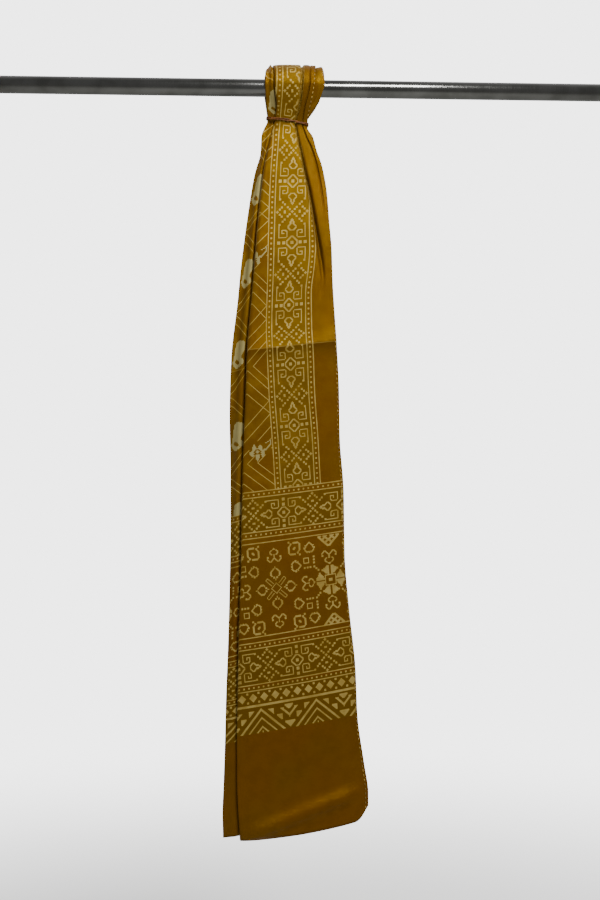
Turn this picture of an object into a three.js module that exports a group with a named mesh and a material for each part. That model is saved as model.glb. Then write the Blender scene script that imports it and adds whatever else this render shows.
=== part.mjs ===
// A printed silk dupatta, folded lengthwise into a stack of four layers, hung over a round rail
// at its middle and gathered just under the rail with an elastic band.
//
// Millimetres, +Z up. X runs along the rail and the front looks towards -Y. The origin is on the
// rail's axis, above the middle of the cloth. The stack goes back and forth like a paper fan:
// the front layer runs from its free selvedge on the right to the edge fold on the left, the
// second layer back to a hidden fold on the right, the third to the strip fold that peeks out
// on the left, and the fourth, next to the rail, back to the other selvedge.
import * as THREE from 'three';

// Rail
const railDiameter = 25.4;
const railLength = 1000;
const railChamfer = 0.8;
const railSides = 32;

// Cloth
const clothThick = 1.0;
const railGap = 0.66;
const frontFall = 1086.6;
const backShare = 0.962;
const backNarrower = 0.94;
const backRise = -0.2;
const backDrop = 0.3;
const cornerWide = 17.4;
const cornerHigh = 18.9;
// Where the fourth layer's selvedge lies, as a share of the way from the edge fold to the
// hidden right fold
const hiddenReach = 0.93;
// The length under the tie over which the back fall comes to its own sizes
const backBlend = 150;
// The hem's slope is straight on most of the front fall and bends over the last part of it
const bendFrom = 1000;
const bendLength = 86;
const leastBend = 0.1;
const addedBend = 0.8;

// How the two falls come together at the band and hang apart under it
const tieFall = 49;
const waist = 1.4;
const kinkSoftness = 1.0;
const opening = 5.6;
const openingLength = 250;

// Elastic band
const bandHigh = 5.2;
const bandThick = 1.8;
const bandHalfWide = 31.4;
const bandHalfDeep = 15.3;
const bandMiddle = -11.6;
const bandSlope = -0.16;
const bandRoundness = 3.3;

// The innermost layer turns over the rail on this radius, and leaves it at this angle past
// the level of the rail's axis to reach the waist in a straight line
const wrapRadius = railDiameter / 2 + railGap + clothThick / 2;
const leaveAngle = Math.asin(wrapRadius / Math.hypot(waist, tieFall)) - Math.atan2(waist, tieFall);
const leaveLength = wrapRadius * (Math.PI / 2 + leaveAngle);
const leaveFall = wrapRadius * Math.sin(leaveAngle);

// The spacing at which that layer's lean is measured on the falls
const leanStep = 0.5;

// Distances along the innermost layer, measured from the top of the rail
function overRail(degrees) {
  return wrapRadius * THREE.MathUtils.degToRad(degrees);
}

function below(fall) {
  return leaveLength + fall - leaveFall;
}

const hemAlong = below(frontFall);

// Outlines of the folds as seen from the front. rise: how much higher the selvedge lies than
// the edge fold on one weft thread. drop: how much lower the strip fold lies.
const outlines = [
  { along: overRail(0), rise: 0, drop: 0, strip: -40.6, edge: -34, selvedge: 27.6, behind: 35.5 },
  { along: overRail(50), rise: 0, drop: 0, strip: -43.5, edge: -32, selvedge: 27, behind: 39 },
  { along: overRail(90), rise: 0, drop: 0, strip: -45, edge: -32.2, selvedge: 26.1, behind: 40.6 },
  { along: below(24), rise: -2, drop: 0, strip: -42.8, edge: -28.3, selvedge: 21, behind: 29 },
  { along: below(44), rise: -8, drop: -1.5, strip: -40.8, edge: -30, selvedge: 16.8, behind: 14 },
  { along: below(51), rise: -8, drop: -1, strip: -41, edge: -30.8, selvedge: 16.8, behind: 14 },
  { along: below(57), rise: -7, drop: 0, strip: -44.4, edge: -32.4, selvedge: 19.6, behind: 16 },
  { along: below(67), rise: -5, drop: 3, strip: -49.3, edge: -35.5, selvedge: 24.4, behind: 19.5 },
  { along: below(89), rise: -2, drop: 6, strip: -50.8, edge: -40.9, selvedge: 29, behind: 25 },
  { along: below(118), rise: 0, drop: 9, strip: -59.5, edge: -46.8, selvedge: 37.7, behind: 32 },
  { along: below(161), rise: 4.4, drop: 12, strip: -67.4, edge: -52.3, selvedge: 44.1, behind: 38 },
  { along: below(205), rise: 6, drop: 14.5, strip: -74, edge: -56.9, selvedge: 47.3, behind: 41 },
  { along: below(246), rise: 8, drop: 17.5, strip: -79.5, edge: -60.2, selvedge: 50.5, behind: 44 },
  { along: below(290), rise: 10.2, drop: 20, strip: -84, edge: -64, selvedge: 51.8, behind: 45 },
  { along: below(372), rise: 13, drop: 25, strip: -93.5, edge: -71.1, selvedge: 56.6, behind: 50 },
  { along: below(450), rise: 16, drop: 28, strip: -95.7, edge: -74, selvedge: 60.9, behind: 54 },
  { along: below(525), rise: 17.4, drop: 29, strip: -94.3, edge: -76.9, selvedge: 62.4, behind: 56 },
  { along: below(604), rise: 18.9, drop: 29, strip: -94.3, edge: -79, selvedge: 68.2, behind: 61 },
  { along: below(694), rise: 21.8, drop: 26, strip: -95.7, edge: -80.3, selvedge: 69.6, behind: 62 },
  { along: below(785), rise: 26, drop: 20, strip: -97.9, edge: -83.2, selvedge: 76.9, behind: 69 },
  { along: below(868), rise: 29, drop: 14, strip: -100.8, edge: -84.5, selvedge: 85.6, behind: 77 },
  { along: below(937), rise: 30.5, drop: 5, strip: -102.2, edge: -85.6, selvedge: 88.5, behind: 80 },
  { along: below(1010), rise: 32, drop: 0, strip: -104.4, edge: -85.1, selvedge: 98.6, behind: 88 },
  { along: below(1053), rise: 32, drop: -2, strip: -105.9, edge: -83.1, selvedge: 104.4, behind: 92 },
  { along: hemAlong, rise: 27.5, drop: -2.5, strip: -105.1, edge: -81.2, selvedge: 104.4, behind: 92 },
];

// Depth of the stack, outwards from the innermost layer. front: the front layer, and round: how
// much lower it lies at its two ends. fold: the hidden layers' nested pleats, crest to trough.
// pitch: from one hidden layer to the next.
const stack = [
  { along: overRail(0), front: 19.8, round: 1.5, fold: 7.2, pitch: 3.2 },
  { along: overRail(90), front: 17.5, round: 1.5, fold: 6, pitch: 2.8 },
  { along: below(24), front: 14.5, round: 2, fold: 5, pitch: 2.3 },
  { along: below(44), front: 11.4, round: 4.4, fold: 3, pitch: 2.1 },
  { along: below(53), front: 11.4, round: 4.6, fold: 3, pitch: 2.1 },
  { along: below(89), front: 17.2, round: 2, fold: 7, pitch: 2.4 },
  { along: below(161), front: 22, round: 1.5, fold: 12, pitch: 2.5 },
  { along: below(246), front: 24.5, round: 1.5, fold: 15, pitch: 2.6 },
  { along: below(372), front: 24.5, round: 1.5, fold: 15.5, pitch: 2.7 },
  { along: below(525), front: 21.5, round: 1.5, fold: 12.5, pitch: 2.8 },
  { along: below(694), front: 18, round: 1.5, fold: 9, pitch: 2.8 },
  { along: below(868), front: 14.5, round: 1.5, fold: 5.5, pitch: 2.9 },
  { along: hemAlong, front: 12, round: 1, fold: 3, pitch: 3 },
];

// The two valleys that the gathering draws into the front layer: the deep tuck that swallows
// the inner side of the border, and the thin pleat in the plain margin beside it
const valleys = [
  { along: overRail(0), tuck: 8.7, tuckHalf: 1.7, tuckDeep: 4.6, pleat: 20.7, pleatDeep: 3.2 },
  { along: overRail(90), tuck: 7.3, tuckHalf: 1.7, tuckDeep: 4.5, pleat: 18.9, pleatDeep: 3.6 },
  { along: below(24), tuck: 4.4, tuckHalf: 1.5, tuckDeep: 3.8, pleat: 12.3, pleatDeep: 3.2 },
  { along: below(44), tuck: -0.7, tuckHalf: 1.3, tuckDeep: 3, pleat: 9.4, pleatDeep: 2.2 },
  { along: below(67), tuck: 1.9, tuckHalf: 1.4, tuckDeep: 4, pleat: 14.5, pleatDeep: 3 },
  { along: below(89), tuck: 5.8, tuckHalf: 1.5, tuckDeep: 5, pleat: 22.6, pleatDeep: 2.8 },
  { along: below(118), tuck: 11.2, tuckHalf: 1.6, tuckDeep: 6, pleat: 30.3, pleatDeep: 2.4 },
  { along: below(161), tuck: 19.6, tuckHalf: 1.8, tuckDeep: 6.6, pleat: 36.8, pleatDeep: 1.2 },
  { along: below(205), tuck: 26.5, tuckHalf: 2.2, tuckDeep: 7, pleat: 41, pleatDeep: 0 },
  { along: below(246), tuck: 33, tuckHalf: 2.8, tuckDeep: 6.6, pleat: 44, pleatDeep: 0 },
  { along: below(270), tuck: 36.3, tuckHalf: 2.4, tuckDeep: 4, pleat: 45.5, pleatDeep: 0 },
  { along: below(290), tuck: 37.7, tuckHalf: 2.4, tuckDeep: 0.8, pleat: 46, pleatDeep: 0 },
  { along: below(322), tuck: 34, tuckHalf: 2.5, tuckDeep: 0, pleat: 46, pleatDeep: 0 },
  { along: below(450), tuck: 24, tuckHalf: 3, tuckDeep: 0, pleat: 44, pleatDeep: 0 },
  { along: hemAlong, tuck: 49, tuckHalf: 3, tuckDeep: 0, pleat: 80, pleatDeep: 0 },
];
const pleatHalf = 0.9;
// A valley's lips and the two sides of the tuck's floor, as shares of its half width
const lipShare = 1.8;
const floorShare = 0.5;

// Rows of the cloth's mesh, as falls below the rail's axis and as angles over the rail
const frontFalls = [
  24, 36, 44, 51, 57, 67, 89, 118, 161, 205, 246, 270, 290, 322, 372,
  450, 560, 670, 785, 880, 960, 1030, frontFall,
];
const backFalls = [24, 36, 44, 51, 57, 67, 89, 118, 161, 205, 290, 372, 480, 600, 720, 840, 960, 1046];
const railAngles = [0, 22.5, 45, 67.5, 90];

// The hidden layers' nested pleats: how many across the front layer, where the first crest
// stands, as a share of that layer's width left of the edge fold, and how much of their depth
// they lose at the hidden right fold. A crease stays this share of the strip from its fold, and
// this far from a layer's end.
const pleatCount = 3;
const firstCrest = -0.09;
const pleatLoss = 0.6;
const stripMargin = 0.3;
const endMargin = 0.5;

// The edge fold's half turn reaches this share of its height to the side, and no more than this
const turnShare = 0.3;
const turnMost = 2.6;

function smooth(value) {
  return THREE.MathUtils.smoothstep(value, 0, 1);
}

function mix(start, end, share) {
  return THREE.MathUtils.lerp(start, end, share);
}

// A column's value at a place along the cloth, on a smooth curve that never overshoots
function valueAt(table, column, along) {
  const last = table.length - 1;
  if (along <= table[0].along) return table[0][column];
  if (along >= table[last].along) return table[last][column];
  const spanOf = (i) => table[i + 1].along - table[i].along;
  const slopeOf = (i) => (table[i + 1][column] - table[i][column]) / spanOf(i);
  const tangentAt = (i) => {
    if (i === 0 || i === last) return 0;
    const before = slopeOf(i - 1);
    const after = slopeOf(i);
    return before * after <= 0 ? 0 : (2 * before * after) / (before + after);
  };
  let i = 0;
  while (along > table[i + 1].along) i += 1;
  const span = spanOf(i);
  const t = (along - table[i].along) / span;
  const ease = smooth(t);
  const start = tangentAt(i) * span * t * (1 - t) * (1 - t);
  const end = tangentAt(i + 1) * span * t * t * (1 - t);
  return mix(table[i][column], table[i + 1][column], ease) + start - end;
}

// Distance of the innermost layer from the plane between the two falls
function spineOffset(fall) {
  const slope = Math.tan(leaveAngle);
  const bend = kinkSoftness * Math.log1p(Math.exp(((tieFall - fall) * slope) / kinkSoftness));
  return waist + bend + opening * smooth((fall - tieFall) / openingLength);
}

// A place on the innermost layer and the direction that points out of the stack there.
// side is -1 on the front and 1 on the back.
function spine(side, along) {
  if (along <= leaveLength) {
    const turn = along / wrapRadius;
    const out = new THREE.Vector3(0, side * Math.sin(turn), Math.cos(turn));
    return { place: out.clone().multiplyScalar(wrapRadius), out };
  }
  const fall = leaveFall + along - leaveLength;
  const lean = (spineOffset(fall + leanStep) - spineOffset(fall - leanStep)) / (2 * leanStep);
  const place = new THREE.Vector3(0, side * spineOffset(fall), -fall);
  return { place, out: new THREE.Vector3(0, side, lean).normalize() };
}

// The measured sizes at one row of the cloth. The back fall is a little shorter and narrower,
// so that the front fall hides it.
function rowAt(side, along) {
  const tieAlong = below(tieFall);
  const isBack = side > 0 && along > tieAlong;
  const key = isBack ? tieAlong + (along - tieAlong) / backShare : along;
  const row = { side, along };
  for (const column of ['rise', 'drop', 'strip', 'edge', 'selvedge', 'behind']) {
    row[column] = valueAt(outlines, column, key);
  }
  for (const column of ['front', 'round', 'fold', 'pitch']) row[column] = valueAt(stack, column, key);
  for (const column of ['tuck', 'tuckHalf', 'tuckDeep', 'pleat', 'pleatDeep']) {
    row[column] = valueAt(valleys, column, key);
  }
  row.hidden = mix(row.edge, row.behind, hiddenReach);
  if (isBack) {
    const middle = (row.strip + row.selvedge) / 2;
    const away = smooth((along - tieAlong) / backBlend);
    for (const column of ['strip', 'edge', 'selvedge', 'behind', 'hidden', 'tuck', 'pleat']) {
      const narrower = middle + (row[column] - middle) * backNarrower;
      row[column] = mix(row[column], narrower, away);
    }
    row.rise *= mix(1, backRise, away);
    row.drop *= mix(1, backDrop, away);
  }
  return row;
}

function valley(offset, half, deep) {
  return deep / (1 + (offset / half) ** 4);
}

// Depth of the front layer at x
function frontDepth(row, x) {
  const across = (x - row.edge) / (row.selvedge - row.edge);
  const rounding = row.round * (2 * across - 1) ** 4;
  const tuck = valley(x - row.tuck, row.tuckHalf, row.tuckDeep);
  const pleat = valley(x - row.pleat, pleatHalf, row.pleatDeep);
  return row.front - rounding - tuck - pleat;
}

// Depth of a hidden layer at x. level is 2 for the second layer down to 0 for the fourth.
function hiddenDepth(row, x, level) {
  const across = (x - row.edge) / (row.selvedge - row.edge);
  const crests = pleatCount * (across - firstCrest);
  const crestShare = Math.abs(2 * (crests - Math.floor(crests)) - 1);
  const overhang = row.behind - row.selvedge;
  const past = overhang > 0 ? smooth((x - row.selvedge) / overhang) : 0;
  return level * row.pitch + row.fold * crestShare * (1 - pleatLoss * past);
}

// How far a place lies above the edge fold's place on the same weft thread
function frontLift(row, x) {
  const across = (x - row.edge) / (row.selvedge - row.edge);
  const bend = leastBend + addedBend * smooth((row.along - below(bendFrom)) / bendLength);
  return row.rise * ((1 - bend) * across + bend * across * across);
}

function hiddenLift(row, x) {
  return THREE.MathUtils.mapLinear(x, row.strip, row.selvedge, -row.drop, row.rise);
}

// The rounded corner of the front layer at its hem
function cornerLift(row, x) {
  const isHem = row.side < 0 && row.along > below(frontFall - 1);
  const start = row.selvedge - cornerWide;
  return isHem && x > start ? cornerHigh * ((x - start) / cornerWide) ** 2 : 0;
}

// A fold's half turn between two layers, three places from the first layer to the second
function halfTurn(start, end, x, reach) {
  return [45, 90, 135].map((degrees) => {
    const turn = THREE.MathUtils.degToRad(degrees);
    const share = (1 - Math.cos(turn)) / 2;
    return {
      x: x + reach * Math.sin(turn),
      depth: mix(start.depth, end.depth, share),
      lift: mix(start.lift, end.lift, share),
    };
  });
}

// The places across the front layer, from the selvedge over the two valleys to the edge fold
function frontPlaces(row, edgeX) {
  const pleatRight = row.pleat + lipShare * pleatHalf;
  const pleatLeft = row.pleat - lipShare * pleatHalf;
  const tuckRight = row.tuck + lipShare * row.tuckHalf;
  const tuckLeft = row.tuck - lipShare * row.tuckHalf;
  const tuckFloor = floorShare * row.tuckHalf;
  return [
    row.selvedge,
    mix(row.selvedge, pleatRight, 0.35),
    mix(row.selvedge, pleatRight, 0.7),
    pleatRight,
    row.pleat,
    pleatLeft,
    mix(pleatLeft, tuckRight, 0.5),
    tuckRight,
    row.tuck + tuckFloor,
    row.tuck - tuckFloor,
    tuckLeft,
    mix(tuckLeft, edgeX, 0.3),
    mix(tuckLeft, edgeX, 0.6),
    mix(tuckLeft, edgeX, 0.85),
    edgeX,
  ];
}

// The crests and troughs of the hidden layers' pleats, from left to right
function creasePlaces(row, stripX) {
  const least = mix(stripX, row.edge, stripMargin);
  const places = [];
  for (let i = 0; i <= 2 * pleatCount; i += 1) {
    const across = firstCrest + i / (2 * pleatCount);
    places.push(Math.max(mix(row.edge, row.selvedge, across), least));
  }
  return places;
}

// The cloth's section at one row, from the front selvedge to the hidden one
function sectionAt(row) {
  const onFront = (x) => {
    return { x, depth: frontDepth(row, x), lift: frontLift(row, x) + cornerLift(row, x) };
  };
  const onHidden = (level) => (x) => {
    return { x, depth: hiddenDepth(row, x, level), lift: hiddenLift(row, x) };
  };
  const edgeHigh = row.front - hiddenDepth(row, row.edge, 2);
  const edgeReach = Math.min(turnMost, turnShare * edgeHigh);
  const foldReach = row.pitch / 2;
  const edgeX = row.edge + edgeReach;
  const behindX = row.behind - foldReach;
  const stripX = row.strip + foldReach;
  const [firstCrease, ...creases] = creasePlaces(row, stripX);
  const creasesUpTo = (end) => creases.map((x) => Math.min(x, end - endMargin));

  const front = frontPlaces(row, edgeX).map(onFront);
  const second = [edgeX, ...creasesUpTo(behindX), behindX].map(onHidden(2));
  const third = [behindX, ...creasesUpTo(behindX).reverse(), firstCrease, stripX].map(onHidden(1));
  const fourth = [stripX, firstCrease, ...creasesUpTo(row.hidden), row.hidden].map(onHidden(0));
  return [
    ...front,
    ...halfTurn(front.at(-1), second[0], edgeX, -edgeReach),
    ...second,
    ...halfTurn(second.at(-1), third[0], behindX, foldReach),
    ...third,
    ...halfTurn(third.at(-1), fourth[0], stripX, -foldReach),
    ...fourth,
  ];
}

// The middle surface of the cloth as a grid of places, from the front hem to the back hem
function middleSurface() {
  const rows = [
    ...[...frontFalls].reverse().map((fall) => rowAt(-1, below(fall))),
    ...[...railAngles].reverse().map((degrees) => rowAt(-1, overRail(degrees))),
    ...railAngles.slice(1).map((degrees) => rowAt(1, overRail(degrees))),
    ...backFalls.map((fall) => rowAt(1, below(fall))),
  ];
  return rows.map((row) => sectionAt(row).map(({ x, depth, lift }) => {
    const { place, out } = spine(row.side, row.along - lift);
    return new THREE.Vector3(x, 0, 0).add(place).addScaledVector(out, depth);
  }));
}

// The way the cloth faces at each place of the grid, longer where the section bends sharply,
// so that its thickness stays the same around a fold. The cosine of half the bend counts down
// to this much.
const sharpest = 0.7;
function facings(grid) {
  const rows = grid.length;
  const columns = grid[0].length;
  return grid.map((line, i) => line.map((place, j) => {
    const up = grid[Math.min(i + 1, rows - 1)][j].clone().sub(grid[Math.max(i - 1, 0)][j]);
    const next = line[Math.min(j + 1, columns - 1)];
    const before = line[Math.max(j - 1, 0)];
    const facing = new THREE.Vector3().crossVectors(up, next.clone().sub(before)).normalize();
    const bend = next.clone().sub(place).normalize().dot(place.clone().sub(before).normalize());
    const isInside = j > 0 && j < columns - 1;
    const halfBend = isInside ? Math.acos(THREE.MathUtils.clamp(bend, -1, 1)) / 2 : 0;
    return facing.multiplyScalar(1 / Math.max(sharpest, Math.cos(halfBend)));
  }));
}

// A closed solid of even thickness around a grid of places
function sheetGeometry(grid, thick) {
  const rows = grid.length;
  const columns = grid[0].length;
  const facing = facings(grid);
  const positions = [];
  for (const side of [0.5, -0.5]) {
    grid.forEach((line, i) => line.forEach((place, j) => {
      positions.push(...place.clone().addScaledVector(facing[i][j], side * thick).toArray());
    }));
  }
  const outer = (i, j) => i * columns + j;
  const inner = (i, j) => rows * columns + i * columns + j;
  const faces = [];
  const quad = (a, b, c, d) => faces.push(a, b, c, a, c, d);
  for (let i = 0; i < rows - 1; i += 1) {
    for (let j = 0; j < columns - 1; j += 1) {
      quad(outer(i, j), outer(i + 1, j), outer(i + 1, j + 1), outer(i, j + 1));
      quad(inner(i, j), inner(i, j + 1), inner(i + 1, j + 1), inner(i + 1, j));
    }
    quad(outer(i, 0), inner(i, 0), inner(i + 1, 0), outer(i + 1, 0));
    const end = columns - 1;
    quad(outer(i, end), outer(i + 1, end), inner(i + 1, end), inner(i, end));
  }
  for (let j = 0; j < columns - 1; j += 1) {
    quad(outer(0, j), outer(0, j + 1), inner(0, j + 1), inner(0, j));
    const end = rows - 1;
    quad(outer(end, j), inner(end, j), inner(end, j + 1), outer(end, j + 1));
  }
  const geometry = new THREE.BufferGeometry();
  geometry.setAttribute('position', new THREE.Float32BufferAttribute(positions, 3));
  geometry.setIndex(faces);
  geometry.computeVertexNormals();
  return geometry;
}

// The round rail, a lathe profile turned from its own axis onto X
function railGeometry() {
  const radius = railDiameter / 2;
  const half = railLength / 2;
  const profile = [
    new THREE.Vector2(0, -half),
    new THREE.Vector2(radius - railChamfer, -half),
    new THREE.Vector2(radius, -half + railChamfer),
    new THREE.Vector2(radius, half - railChamfer),
    new THREE.Vector2(radius - railChamfer, half),
    new THREE.Vector2(0, half),
  ];
  return new THREE.LatheGeometry(profile, railSides).rotateZ(-Math.PI / 2);
}

// The closed elastic loop, a flat oval that is lower on the right, with a rounded section
function bandGeometry() {
  const stepsRound = 48;
  // Outward in band thicknesses and upward in band heights
  const section = [
    [0, -0.36], [0.3, -0.5], [0.8, -0.42], [1, -0.2], [1, 0.2], [0.8, 0.42], [0.3, 0.5], [0, 0.36],
  ];
  const oval = (turn, reach) => {
    const power = 2 / bandRoundness;
    const cos = Math.cos(turn);
    const sin = Math.sin(turn);
    const x = Math.sign(cos) * Math.abs(cos) ** power * (bandHalfWide + reach);
    const y = Math.sign(sin) * Math.abs(sin) ** power * (bandHalfDeep + reach);
    return [x, y];
  };
  const positions = [];
  const faces = [];
  for (let i = 0; i < stepsRound; i += 1) {
    const turn = ((i + 0.5) / stepsRound) * 2 * Math.PI;
    for (const [outward, upward] of section) {
      const [x, y] = oval(turn, outward * bandThick);
      positions.push(bandMiddle + x, y, -tieFall + bandSlope * x + upward * bandHigh);
    }
  }
  const count = section.length;
  for (let i = 0; i < stepsRound; i += 1) {
    const next = (i + 1) % stepsRound;
    for (let j = 0; j < count; j += 1) {
      const above = (j + 1) % count;
      faces.push(i * count + j, next * count + j, next * count + above);
      faces.push(i * count + j, next * count + above, i * count + above);
    }
  }
  const geometry = new THREE.BufferGeometry();
  geometry.setAttribute('position', new THREE.Float32BufferAttribute(positions, 3));
  geometry.setIndex(faces);
  geometry.computeVertexNormals();
  return geometry;
}

function piece(name, geometry, color, roughness, metalness) {
  const material = new THREE.MeshStandardMaterial({ color, roughness, metalness });
  const mesh = new THREE.Mesh(geometry, material);
  mesh.name = name;
  return mesh;
}

const dupattaOnRail = new THREE.Group();
dupattaOnRail.add(
  piece('rail', railGeometry(), 0x8c8d8f, 0.25, 1),
  piece('dupatta', sheetGeometry(middleSurface(), clothThick), 0x8a6208, 0.55, 0),
  piece('tie_band', bandGeometry(), 0x8a3c08, 0.8, 0),
);

export default dupattaOnRail;
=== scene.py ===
# %% [markdown]
# This script dresses the frame of a printed silk dupatta that hangs over a round steel rail.
# The dupatta is one long cloth. It is folded lengthwise into a stack of four layers, laid over
# the rail at its middle and gathered under it with an elastic band. Every cell makes one piece
# or one finish, and says first what that is on the real thing.

# %% Load the frame
import bisect
import math
import bmesh
import bpy
from mathutils import Matrix, Vector, geometry, noise


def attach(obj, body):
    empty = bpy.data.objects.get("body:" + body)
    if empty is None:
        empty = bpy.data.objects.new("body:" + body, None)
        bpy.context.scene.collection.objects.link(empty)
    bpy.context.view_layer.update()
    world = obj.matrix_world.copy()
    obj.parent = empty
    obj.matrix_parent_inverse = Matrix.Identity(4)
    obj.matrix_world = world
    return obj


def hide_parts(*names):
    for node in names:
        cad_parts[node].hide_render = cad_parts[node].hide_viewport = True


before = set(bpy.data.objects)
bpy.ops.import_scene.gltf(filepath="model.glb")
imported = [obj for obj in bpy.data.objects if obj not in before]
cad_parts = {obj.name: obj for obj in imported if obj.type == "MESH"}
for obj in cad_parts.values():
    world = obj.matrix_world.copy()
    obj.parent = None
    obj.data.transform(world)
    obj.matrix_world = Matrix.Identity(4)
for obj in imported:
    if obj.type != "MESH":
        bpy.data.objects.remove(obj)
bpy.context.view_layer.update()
MM = 0.001
print("nodes:", sorted(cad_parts))

# %% [markdown]
# The camera comes first, because it says which side has to look right. The picture is 600 by
# 900, so a portrait camera is described by its height: the frame takes in about 1.3 m. The
# camera stands level at the cloth's middle and a few degrees to the left, so the rail, which
# hangs above its eye, seems to fall a little towards its far right end. A roll would do that
# as well, but it would tip the hanging cloth too.

# %% Camera
VIEW_HIGH = 1.2935
VIEW_CENTRE = Vector((0.0051, -0.024, -0.525))
CAMERA_DISTANCE = 2.2
CAMERA_TURN = math.radians(3.4)
SENSOR = 36.0

camera_data = bpy.data.cameras.new("camera")
camera_data.sensor_fit = "VERTICAL"
camera_data.sensor_height = SENSOR
camera_data.lens = SENSOR * CAMERA_DISTANCE / VIEW_HIGH
camera = bpy.data.objects.new("camera", camera_data)
bpy.context.scene.collection.objects.link(camera)
camera_side = Vector((-math.sin(CAMERA_TURN), -math.cos(CAMERA_TURN), 0))
camera.location = VIEW_CENTRE + camera_side * CAMERA_DISTANCE
camera.rotation_euler = (math.radians(90), 0, -CAMERA_TURN)
bpy.context.scene.camera = camera
print("lens in mm:", round(camera_data.lens, 1))

# %% [markdown]
# One helper turns a bmesh into an object with smooth or flat faces. Every piece is finished with
# its place in its mesh, so its object stays at the origin, unturned and unscaled. Another makes
# a material with nodes, and gives back its tree and its main shader.

# %% Helpers that make an object and a material
def finished(name, shape, material=None, smooth=True):
    mesh = bpy.data.meshes.new(name)
    shape.to_mesh(mesh)
    shape.free()
    mesh.polygons.foreach_set("use_smooth", [smooth] * len(mesh.polygons))
    piece = bpy.data.objects.new(name, mesh)
    bpy.context.scene.collection.objects.link(piece)
    if material:
        mesh.materials.append(material)
    print(name, "has", len(mesh.polygons), "faces")
    return piece


def new_material(name):
    material = bpy.data.materials.new(name)
    material.use_nodes = True
    return material, material.node_tree, material.node_tree.nodes["Principled BSDF"]


# %% [markdown]
# The floor's paint is plain and pale. The camera sees it a little paler than the cloth does, so
# that it throws less light up under the hem. Away from the cloth it fades into the backdrop,
# which only the camera sees, so that no horizon cuts across the picture.

# %% Paint of the floor
FLOOR_FADE = (0.6, 2.6)
FLOOR_PALE = (0.86, 0.86, 0.85, 1)
FLOOR_DIM = (0.62, 0.62, 0.6, 1)
BACKDROP = 4.0

floor_paint, floor_tree, floor_shader = new_material("floor_paint")
floor_shader.inputs["Roughness"].default_value = 0.9
floor_nodes, floor_links = floor_tree.nodes, floor_tree.links
camera_ray = floor_nodes.new("ShaderNodeLightPath").outputs["Is Camera Ray"]
floor_tone = floor_nodes.new("ShaderNodeMix")
floor_tone.data_type = "RGBA"
floor_tone.inputs["A"].default_value = FLOOR_DIM
floor_tone.inputs["B"].default_value = FLOOR_PALE
floor_links.new(camera_ray, floor_tone.inputs["Factor"])
floor_links.new(floor_tone.outputs["Result"], floor_shader.inputs["Base Color"])
from_middle = floor_nodes.new("ShaderNodeVectorMath")
from_middle.operation = "LENGTH"
floor_place = floor_nodes.new("ShaderNodeTexCoord").outputs["Object"]
flat_part = floor_nodes.new("ShaderNodeVectorMath")
flat_part.operation = "MULTIPLY"
flat_part.inputs[1].default_value = (1, 1, 0)
floor_links.new(floor_place, flat_part.inputs[0])
floor_links.new(flat_part.outputs["Vector"], from_middle.inputs[0])
fade = floor_nodes.new("ShaderNodeMapRange")
fade.interpolation_type = "SMOOTHSTEP"
fade.inputs["From Min"].default_value, fade.inputs["From Max"].default_value = FLOOR_FADE
floor_links.new(from_middle.outputs["Value"], fade.inputs["Value"])
seen_fade = floor_nodes.new("ShaderNodeMath")
seen_fade.operation = "MULTIPLY"
floor_links.new(fade.outputs["Result"], seen_fade.inputs[0])
floor_links.new(camera_ray, seen_fade.inputs[1])
far_floor = floor_nodes.new("ShaderNodeEmission")
far_floor.inputs["Strength"].default_value = BACKDROP
fading = floor_nodes.new("ShaderNodeMixShader")
floor_links.new(seen_fade.outputs[0], fading.inputs["Fac"])
floor_links.new(floor_shader.outputs["BSDF"], fading.inputs[1])
floor_links.new(far_floor.outputs["Emission"], fading.inputs[2])
floor_links.new(fading.outputs["Shader"], floor_nodes["Material Output"].inputs["Surface"])
print("the floor fades between these distances, in metres:", FLOOR_FADE)

# %% [markdown]
# The floor itself is one flat square, far enough below the hem that the cloth hangs free. It
# isn't part of the object.

# %% Floor
FLOOR_FALL = 1.45
FLOOR_SIZE = 14.0

floor_shape = bmesh.new()
bmesh.ops.create_grid(floor_shape, x_segments=1, y_segments=1, size=FLOOR_SIZE / 2)
bmesh.ops.translate(floor_shape, verts=floor_shape.verts, vec=(0, 0, -FLOOR_FALL))
floor = finished("floor", floor_shape, floor_paint, smooth=False)

# %% [markdown]
# Silk and polished steel show what is around them. So one large lamp stands above the camera,
# a little to the right, and gives both their sheen, and the room is dim in front of the cloth
# and brighter behind it. Straight into the camera the room shows as a plain pale backdrop.

# %% Lights
LAMP_PLACE = Vector((0.53, -1.5, 1.3))
LAMP_TARGET = Vector((0, 0, -0.3))
LAMP_SIZE = (1.0, 0.5)
LAMP_POWER = 150
ROOM_FRONT = 0.45
ROOM_BACK = 1.0
ROOM_TURN = (-0.5, 0.7)

lamp_data = bpy.data.lights.new("lamp_above", "AREA")
lamp_data.shape = "RECTANGLE"
lamp_data.size, lamp_data.size_y = LAMP_SIZE
lamp_data.energy = LAMP_POWER
lamp = bpy.data.objects.new("lamp_above", lamp_data)
lamp.location = LAMP_PLACE
lamp.rotation_euler = (LAMP_TARGET - LAMP_PLACE).to_track_quat("-Z", "Y").to_euler()
bpy.context.scene.collection.objects.link(lamp)

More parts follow.
